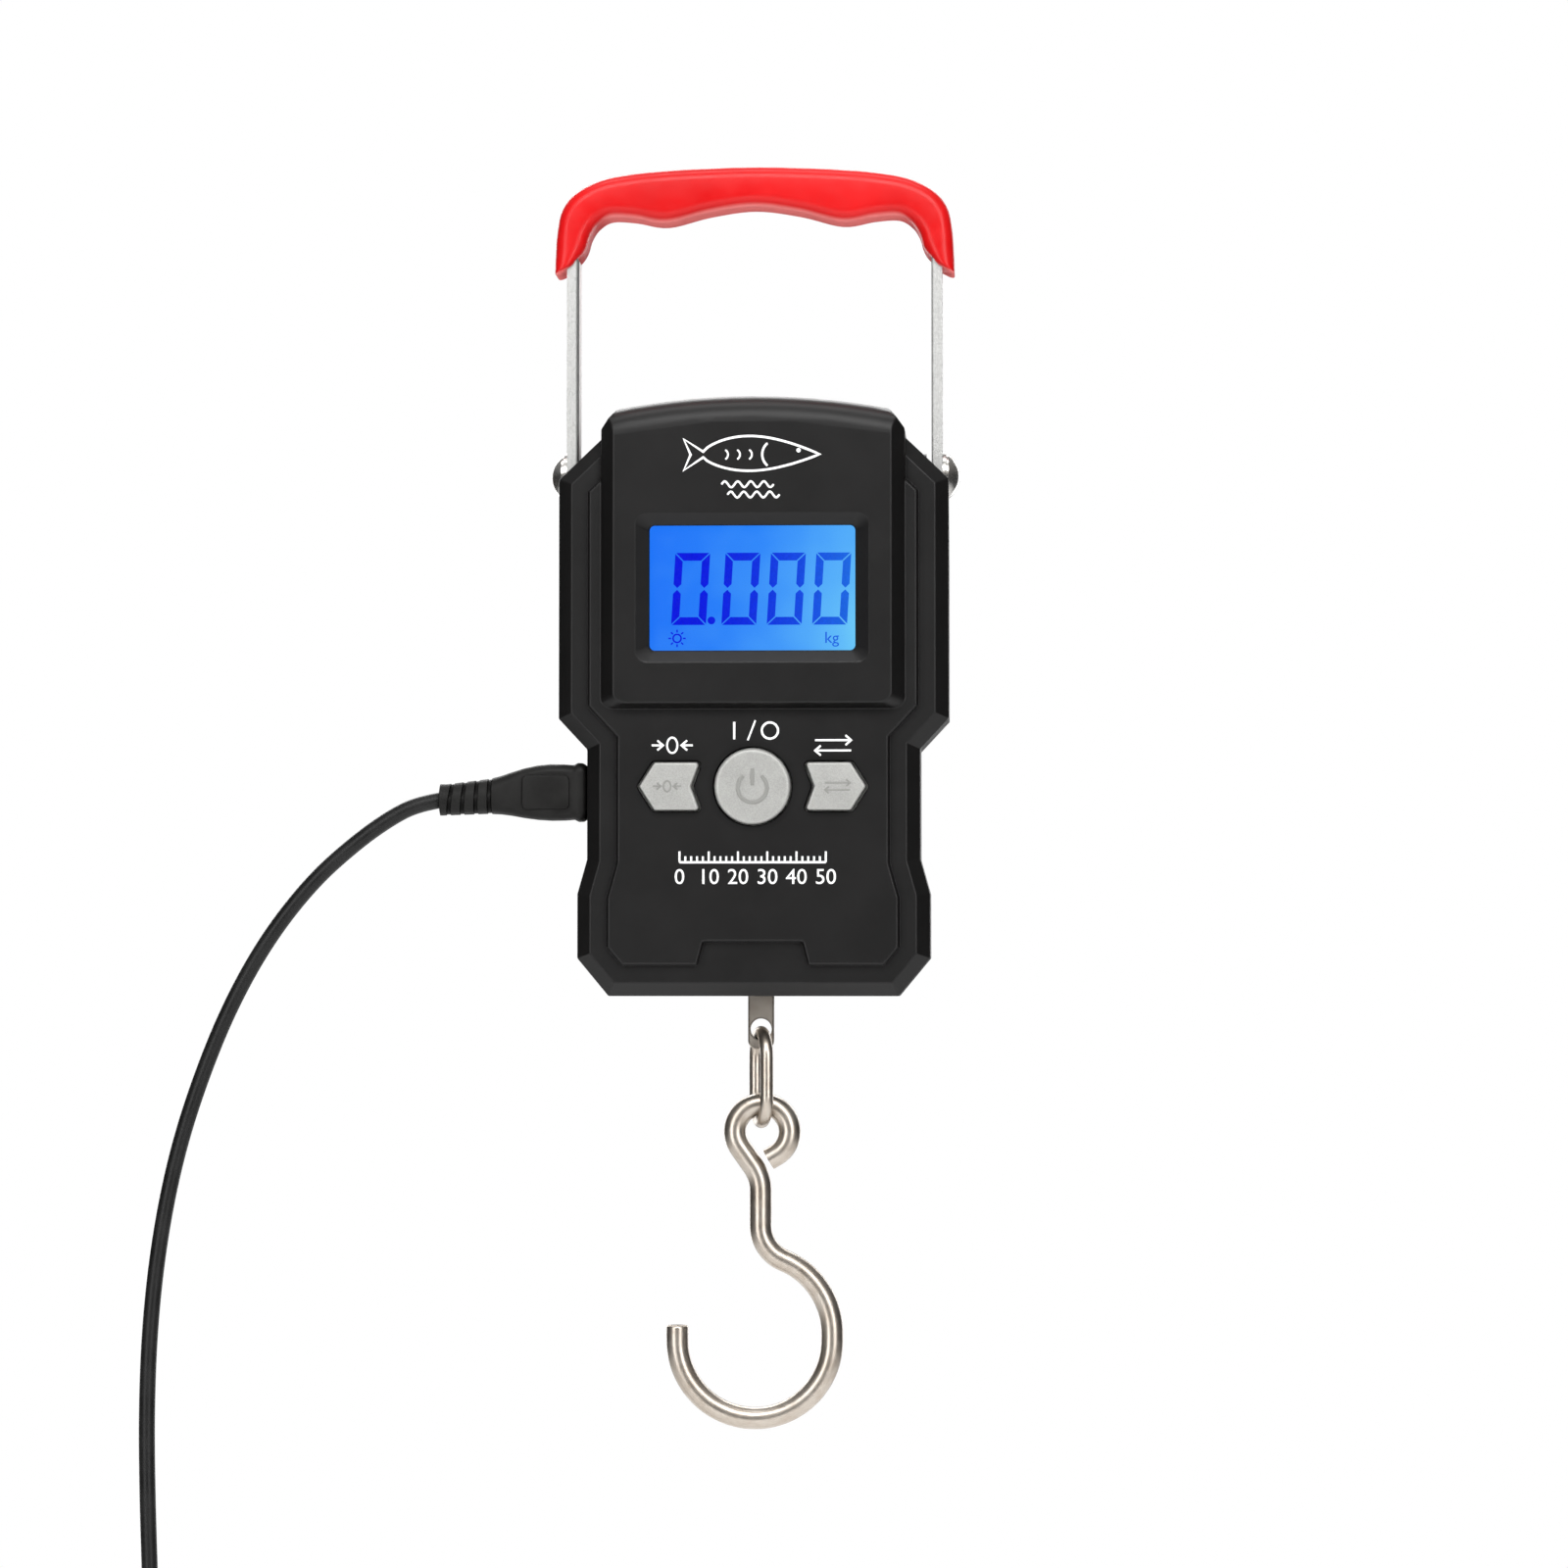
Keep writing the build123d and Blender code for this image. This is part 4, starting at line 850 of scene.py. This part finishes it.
# Pairs of outer and inner outline points (x, z) from the middle of the grip to its tip
GRIP_PAIRS = [
    ((0.0, 57.8), (0.0, 50.4)),
    ((8.5, 57.6), (8.5, 49.3)),
    ((16.6, 57.2), (16.4, 47.4)),
    ((22.8, 56.6), (22.4, 48.3)),
    ((28.6, 55.5), (26.9, 48.5)),
    ((33.4, 53.1), (29.4, 47.1)),
    ((36.0, 49.8), (30.8, 45.0)),
    ((36.9, 45.7), (31.4, 43.0)),
    ((37.2, 41.6), (32.1, 41.6)),
    ((37.3, 38.2), (33.3, 40.3)),
]
GRIP_ROUND, SPAN_STEPS = 2.4, 6


def grip_section(outer, inner, half_depth, shrink=0.0):
    """Rounded four-sided section between an outer and an inner point."""
    across = outer - inner
    middle, half = (outer + inner) / 2, across.length / 2 - shrink
    way = across.normalized()
    depth = half_depth - shrink
    round_now = min(GRIP_ROUND, half * 0.92, depth * 0.92)
    ring = []
    for corner_a, corner_y, start in ((1, -1, -90), (1, 1, 0), (-1, 1, 90), (-1, -1, 180)):
        for k in range(6):
            turn = radians(start + 90 * k / 5)
            along = corner_a * (half - round_now) + round_now * cos(turn)
            y = corner_y * (depth - round_now) + round_now * sin(turn)
            place = middle + way * along
            ring.append((place.x, y, place.y))
    return ring


def red_grip(material):
    """One moulding over the strap's top: arched back, waved underside, tapered legs."""
    half_depth = limits("handle_grip")[1].y
    knots = [(Vector((-a[0], a[1])), Vector((-b[0], b[1]))) for a, b in reversed(GRIP_PAIRS[1:])]
    knots += [(Vector(a), Vector(b)) for a, b in GRIP_PAIRS]
    outer = spline_points([a for a, _ in knots], SPAN_STEPS)
    inner = spline_points([b for _, b in knots], SPAN_STEPS)
    rings = [grip_section(a, b, half_depth) for a, b in zip(outer, inner)]
    for end, beside in ((0, 1), (-1, -2)):
        out = ((outer[end] + inner[end]) - (outer[beside] + inner[beside])).normalized()
        for step in range(1, 4):
            turn = pi / 2 * step / 4
            push = out * (0.9 * sin(turn))
            ring = grip_section(outer[end] + push, inner[end] + push, half_depth, 1.3 * (1 - cos(turn)))
            rings.insert(0 if end == 0 else len(rings), ring)
    finish_piece(solid("red_grip", lofted(rings), 60), material, "handle", "handle_grip")


# ---------------- charging lead

# The same route as the CAD tube's, in metres, heights from the pivot
CORD_ROUTE = [
    (-0.0588, -0.0015, -0.06040),
    (-0.0631, -0.0015, -0.06114),
    (-0.0679, -0.0014, -0.06350),
    (-0.0745, -0.0012, -0.06810),
    (-0.0829, -0.0009, -0.07550),
    (-0.0913, -0.0004, -0.08610),
    (-0.0984, 0.0002, -0.09860),
    (-0.1041, 0.0008, -0.11240),
    (-0.1086, 0.0013, -0.12650),
    (-0.1117, 0.0016, -0.14170),
    (-0.1135, 0.0017, -0.15760),
    (-0.1141, 0.0016, -0.17400),
    (-0.1138, 0.0013, -0.19050),
    (-0.1132, 0.0011, -0.20600),
    (-0.1127, 0.0010, -0.21950),
]
CORD_RADIUS = 0.0015
HANK_TURNS, HANK_FOLD_R, HANK_TOP, HANK_FOOT = 3, 0.0120, -0.2260, -0.2710
HANK_MIDDLE_X, HANK_Y, SLOT_R = -0.1007, 0.0010, 0.00222
TAIL_END = -0.2958


def hank_run(turn):
    """Fold radius and depth of this turn: the runs lie in a bundle, a quarter turn apart."""
    slot = radians(135 + 90 * turn)
    return HANK_FOLD_R - SLOT_R * cos(slot), HANK_Y + SLOT_R * sin(slot)


def hank_points():
    """Turns of the put-away hank: down its left run, round the foot, up, and over the top."""
    points = []
    shares = [(k + 0.5) / 6 for k in range(6)]
    levels = [HANK_TOP + (HANK_FOOT - HANK_TOP) * share for share in (0.20, 0.55, 0.90)]
    for turn in range(HANK_TURNS + 1):
        radius, y = hank_run(turn)
        points += [(HANK_MIDDLE_X - radius, y, z) for z in levels]
        if turn == HANK_TURNS:
            break
        for share in shares:
            now = pi * share
            points.append((HANK_MIDDLE_X - radius * cos(now), y, HANK_FOOT - radius * sin(now)))
        points += [(HANK_MIDDLE_X + radius, y, z) for z in reversed(levels)]
        next_radius, next_y = hank_run(turn + 1)
        for share in shares:
            size = radius + (next_radius - radius) * share
            x, z = HANK_MIDDLE_X + size * cos(pi * share), HANK_TOP + size * sin(pi * share)
            points.append((x, y + (next_y - y) * share, z))
    return points


def tail_points():
    """Out of the hank's foot and down into the far plug's strain relief."""
    radius, y = hank_run(HANK_TURNS)
    points = []
    for k in range(3):
        now = pi / 2 * (k + 0.5) / 3
        points.append((HANK_MIDDLE_X - radius * cos(now), y, HANK_FOOT - radius * sin(now)))
    tail_x, foot = HANK_MIDDLE_X + HANK_FOLD_R, HANK_FOOT - radius
    points.append((tail_x - 0.0090, (y + HANK_Y) / 2, foot - 0.0002))
    points.append((tail_x - 0.0022, HANK_Y, foot - 0.0028))
    points.append((tail_x, HANK_Y, foot - 0.0080))
    points.append((tail_x, HANK_Y, TAIL_END))
    return points


def charging_cord(material):
    """The lead's jacket as one smooth curve, from the plug to the hank and the far plug."""
    curve = bpy.data.curves.new("charging_lead_cord", "CURVE")
    curve.dimensions = "3D"
    curve.bevel_depth = CORD_RADIUS
    curve.bevel_resolution = 5
    curve.resolution_u = 8
    route = CORD_ROUTE + hank_points() + tail_points()
    spline = curve.splines.new("NURBS")
    spline.points.add(len(route) - 1)
    for point, (x, y, z) in zip(spline.points, route):
        point.co = (x, y, PIVOT_Z + z, 1.0)
    spline.order_u = 3
    spline.use_endpoint_u = True
    piece = bpy.data.objects.new("charging_lead_cord", curve)
    finish_piece(piece, material, "charging_lead", "charging_cord", "charging_cord_hank",
                 "charging_cord_tail")


PLUG_BOX = limits("charging_plug_boot")
PLUG_MOUTH_X, PLUG_Y = PLUG_BOX[1].x, (PLUG_BOX[0].y + PLUG_BOX[1].y) / 2
# Sections of the plug's moulding: distance from the mouth, drop of its middle below the
# mouth's, half height, half depth, corner radius
PLUG_MOUTH_Z = -59.0
PLUG_SECTIONS = [
    (0.00, 0.00, 4.30, 3.30, 1.4),
    (0.35, 0.00, 4.95, 3.70, 1.7),
    (1.00, 0.00, 5.40, 3.93, 1.8),
    (1.90, 0.00, 5.45, 3.95, 1.8),
    (2.50, 0.00, 5.12, 3.72, 1.7),
    (2.90, 0.00, 5.06, 3.62, 1.6),
    (4.50, 0.00, 5.18, 3.66, 1.6),
    (7.00, 0.00, 5.22, 3.68, 1.6),
    (9.50, 0.05, 5.02, 3.62, 1.6),
    (12.0, 0.15, 4.60, 3.40, 1.7),
    (14.5, 0.30, 4.00, 3.20, 1.9),
    (16.5, 0.50, 3.55, 3.00, 2.2),
    (18.0, 0.65, 3.35, 2.95, 2.6),
]
# Strain relief: its slots, their depth, its radius at each end, its flattening and its lean
RELIEF_SLOTS, SLOT_DEPTH, RELIEF_START_R, RELIEF_END_R = 4, 0.62, 3.3, 2.9
RELIEF_FLAT, RELIEF_LEAN = 0.93, radians(10)
PAD_ENDS, PAD_DROP, PAD_HALF, PAD_PROUD = (3.4, 12.2), 0.05, 3.15, 0.22


def relief_ring(share, depth, count):
    """Section of the strain relief at this share of its length, its slot cut this deep.

    A slot is shallower at the front, rear, top and bottom, where the ribs stay joined.
    """
    away, drop = PLUG_SECTIONS[-1][:2]
    start_x, start_z = PLUG_MOUTH_X - away, PLUG_MOUTH_Z - drop
    end_x, end_z = CORD_ROUTE[0][0] / MM, CORD_ROUTE[0][2] / MM
    x, z = start_x + (end_x - start_x) * share, start_z + (end_z - start_z) * share
    size = RELIEF_START_R + (RELIEF_END_R - RELIEF_START_R) * share
    ring = []
    first = -pi + pi / 4 - pi / 24  # near the corner where the moulding's sections start
    for n in range(count):
        turn = first + 2 * pi * (n + 0.5) / count
        cut = (1 - 0.6 * abs(cos(turn)) ** 30) * (1 - 0.75 * abs(sin(turn)) ** 8)
        radius = size - depth * cut
        y, rise = radius * cos(turn) * RELIEF_FLAT, radius * sin(turn)
        ring.append((x + rise * sin(RELIEF_LEAN) * share, PLUG_Y + y, z + rise))
    return ring


def plug_body(material):
    """Micro plug moulding: lipped mouth, bulged body, raised pad, slotted strain relief."""
    rings = []
    for away, drop, tall, deep, corner in PLUG_SECTIONS:
        outline = rounded_corners(box_outline(-deep, -tall, deep, tall), min(corner, deep * 0.95))
        x, z = PLUG_MOUTH_X - away, PLUG_MOUTH_Z - drop
        rings.append([(x, PLUG_Y + y, z + rise) for y, rise in outline])
    for k in range(RELIEF_SLOTS):
        slot = ((0.04, 0.0), (0.07, SLOT_DEPTH), (0.33, SLOT_DEPTH), (0.36, 0.0), (0.70, 0.0))
        for share, depth in slot:
            rings.append(relief_ring((k + share) / RELIEF_SLOTS, depth, len(rings[0])))
    last, end = rings[-1], Vector(CORD_ROUTE[0]) / MM
    for out, shrink in ((0.0, 1.0), (0.12, 0.8)):
        rings.append([(end.x - out, PLUG_Y + (y - PLUG_Y) * shrink, end.z + (z - end.z) * shrink)
                      for _, y, z in last])
    right, left = (PLUG_MOUTH_X - away for away in PAD_ENDS)
    middle, front = PLUG_MOUTH_Z - PAD_DROP, PLUG_Y - 3.66
    sides = box_outline(left, middle - PAD_HALF, right, middle + PAD_HALF)
    raised = rounded_slab(rounded_corners(sides, 1.0), front + 1.0, front - PAD_PROUD, 0.2, 3)
    piece = solid("charging_plug_body", joined([lofted(rings), raised]), 35)
    finish_piece(piece, material, "charging_lead", "charging_plug_boot")


def tie_end(material):
    """The tie's free end, pressed down over its own front: a rounded tongue with a sewn edge."""
    low, high = limits("cord_tie")
    middle_z, half = (low.z + high.z) / 2, (high.z - low.z) / 2 - 0.25
    left, right, front = low.x + 9.0, high.x - 5.2, low.y
    foot, top = middle_z - half, middle_z + half
    outline = rounded_corners(box_outline(left, foot, right, top), [0.4, 3.2, 3.2, 0.4])
    parts = [rounded_slab(outline, front + 0.3, front - 0.75, 0.3, 3)]
    stitch, pitch, seam = 0.8, 1.3, 1.0
    for level in (foot + seam, top - seam):
        for k in range(int((right - left - 5.0) / pitch)):
            x = left + seam + k * pitch
            parts.append(ribbon([(x, level), (x + stitch, level)], 0.28, front - 0.6, front - 0.86))
    finish_piece(solid("cord_tie_end", joined(parts), 50), material, "charging_lead", slot="tie_rubber")


# ---------------- studio

FLOOR_RADIUS, FLOOR_GAP = 1.10, 0.03


def make_floor():
    """A pale round floor below the hanging scale, fading out at its rim."""
    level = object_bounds()[0][2] - FLOOR_GAP
    mesh = bpy.data.meshes.new("floor")
    rim = [(x, y, level) for x, y in circle(FLOOR_RADIUS, 96)]
    mesh.from_pydata(rim, [], [tuple(range(len(rim)))])
    floor = bpy.data.objects.new("floor", mesh)
    g = Graph("floor_pale")
    g.set(Base_Color=g.mixed(g.noise(60.0), (0.84, 0.84, 0.84), (0.88, 0.88, 0.88)), Roughness=0.85)
    g.set(Specular_IOR_Level=0.1, Emission_Color=(1, 1, 1, 1), Emission_Strength=0.22)
    flat = g.add("ShaderNodeVectorMath", {0: g.place, 1: (1, 1, 0)}, operation="MULTIPLY").outputs[0]
    reach = g.add("ShaderNodeVectorMath", {0: flat}, operation="LENGTH").outputs["Value"]
    fade = g.ranged(reach, 0.0, 1.0, 0.35, FLOOR_RADIUS - 0.02)
    g.show_mixed(fade, g.shader, g.add("ShaderNodeBsdfTransparent"))
    mesh.materials.append(g.material)
    bpy.context.scene.collection.objects.link(floor)


def make_world():
    """White backdrop; for reflections a soft grey room, brighter overhead."""
    world = bpy.data.worlds.new("studio")
    world.use_nodes = True
    tree = world.node_tree
    tree.nodes.clear()
    new, join = tree.nodes.new, tree.links.new
    place, parts = new("ShaderNodeTexCoord"), new("ShaderNodeSeparateXYZ")
    ramp, path, pick = new("ShaderNodeMapRange"), new("ShaderNodeLightPath"), new("ShaderNodeMixShader")
    room, backdrop = new("ShaderNodeBackground"), new("ShaderNodeBackground")
    for sheet in (room, backdrop):
        sheet.inputs["Color"].default_value = (1, 1, 1, 1)
    ramp.inputs["From Min"].default_value = 0.1
    ramp.inputs["To Min"].default_value = 0.05
    ramp.inputs["To Max"].default_value = 0.45
    join(place.outputs["Generated"], parts.inputs[0])
    join(parts.outputs["Z"], ramp.inputs["Value"])
    join(ramp.outputs["Result"], room.inputs["Strength"])
    join(path.outputs["Is Camera Ray"], pick.inputs["Fac"])
    join(room.outputs[0], pick.inputs[1])
    join(backdrop.outputs[0], pick.inputs[2])
    join(pick.outputs[0], new("ShaderNodeOutputWorld").inputs["Surface"])
    bpy.context.scene.world = world


# Azimuth and height towards each light in degrees, its size in metres and its power
PANELS = {
    "right_panel": (34, 8, (0.36, 0.80), 5.0),
    "left_panel": (-34, 4, (0.36, 0.80), 4.4),
    "upper_panel": (2, 40, (0.90, 0.34), 8.0),
    "lower_panel": (-4, -32, (0.70, 0.25), 2.8),
    "top_panel": (0, 84, (0.80, 0.30), 3.5),
    "rear_upper_panel": (184, 40, (0.90, 0.34), 6.0),
    "rear_right_panel": (153, 6, (0.28, 0.80), 2.6),
    "rear_left_panel": (207, 6, (0.28, 0.80), 2.6),
}


def soft_panel(name, azimuth, rise, size, power):
    """A soft light one metre from the scale's middle."""
    data = bpy.data.lights.new(name, "AREA")
    data.shape = "RECTANGLE"
    data.size, data.size_y = size
    data.energy = power
    light = bpy.data.objects.new(name, data)
    turn, lift = radians(azimuth), radians(rise)
    way = Vector((sin(turn) * cos(lift), -cos(turn) * cos(lift), sin(lift)))
    light.location = at(0, 0, -55) + way
    light.rotation_euler = (-way).to_track_quat("-Z", "Y").to_euler()
    bpy.context.scene.collection.objects.link(light)


def make_studio():
    make_floor()
    make_world()
    for name, settings in PANELS.items():
        soft_panel(name, *settings)
    bpy.context.scene.view_settings.view_transform = "Standard"


# ---------------- all pieces


def carried_over():
    """Materials and rounded edges of the CAD nodes that show as they are."""
    black = moulded("housing_black", (0.0026, 0.0024, 0.0024), 0.40, gloss=0.27, painted_shade_mm=1.6)
    coat(black, "front_shell", "rear_shell")
    soften("front_shell", 0.22)
    soften("rear_shell", 0.30, clamp=True)
    coat(zinc_steel(), "handle_strap")
    nickel = (0.45, 0.405, 0.355)
    coat(plated("nickel_wire", nickel, 0.33), "hook", "link_ring")
    coat(plated("nickel_strip", nickel, 0.34, painted_rim_mm=0.7), "hanger_plate")
    coat(plated("nickel_rivet", (0.66, 0.65, 0.63), 0.24), "pivot_rivets", "pivot_washers")
    coat(steel("screw_steel", (0.30, 0.30, 0.31)), "case_screws", "board_screws", "load_cell_bolt",
         "hanger_pin")
    coat(steel("frame_steel", (0.55, 0.55, 0.56), 0.32), "load_frame")
    coat(steel("cell_aluminium", (0.78, 0.78, 0.79), 0.30), "load_cell")
    coat(steel("socket_steel", (0.42, 0.42, 0.425), 0.28), "usb_socket", "charging_plug_shell",
         "usb_a_shell")
    coat(window_clear(), "display_window")
    coat(moulded("guide_white", (0.78, 0.82, 0.86), 0.3), "lcd_backlight")
    coat(board_green(), "main_board")
    coat(moulded("component_black", (0.02, 0.02, 0.02), 0.45), "controller_chips", "tact_switches",
         "tare_plunger", "power_plunger", "unit_plunger", "usb_socket_tongue",
         "charging_plug_tongue", "usb_a_tongue")
    coat(moulded("gauge_film", (0.62, 0.33, 0.06), 0.4), "strain_gauges")
    coat(rubber("zebra_grey", (0.20, 0.20, 0.21)), "zebra_strips")
    coat(steel("battery_foil", (0.72, 0.73, 0.75), 0.34, 0.8), "battery")
    coat(foam_tape(), "battery_tape")
    coat(rubber("wire_red", (0.55, 0.02, 0.02)), "battery_wires")
    coat(rubber("wire_white", (0.78, 0.78, 0.76)), "load_cell_wires")
    coat(rubber("plug_black", (0.0062, 0.0060, 0.0058), 0.52, 0.14, 0.3), "usb_a_boot")
    soften("cord_tie", 0.35)


def main():
    make_camera()
    plug_body(rubber("plug_body_black", (0.0050, 0.0048, 0.0045), 0.50, 0.14, 0.15))
    tie = woven_tape("tie_grey", (0.030, 0.030, 0.032))
    coat(tie, "cord_tie")
    tie_end(tie)
    charging_cord(rubber("cord_black", (0.0030, 0.0030, 0.0030), 0.42, 0.3, 0.25))
    carried_over()
    display(lcd_glow(), lcd_ink())
    housing_print(print_ink())
    silver = key_plastic()
    # the key signs' darker grey is painted shade for their low relief
    relief = moulded("key_relief", (0.19, 0.19, 0.18), 0.36, 0.1, 0.002, shade=1.1)
    power_key(silver, relief)
    arrow_key(-1, silver, relief)
    arrow_key(1, silver, relief)
    red_grip(grip_plastic())
    make_studio()


main()
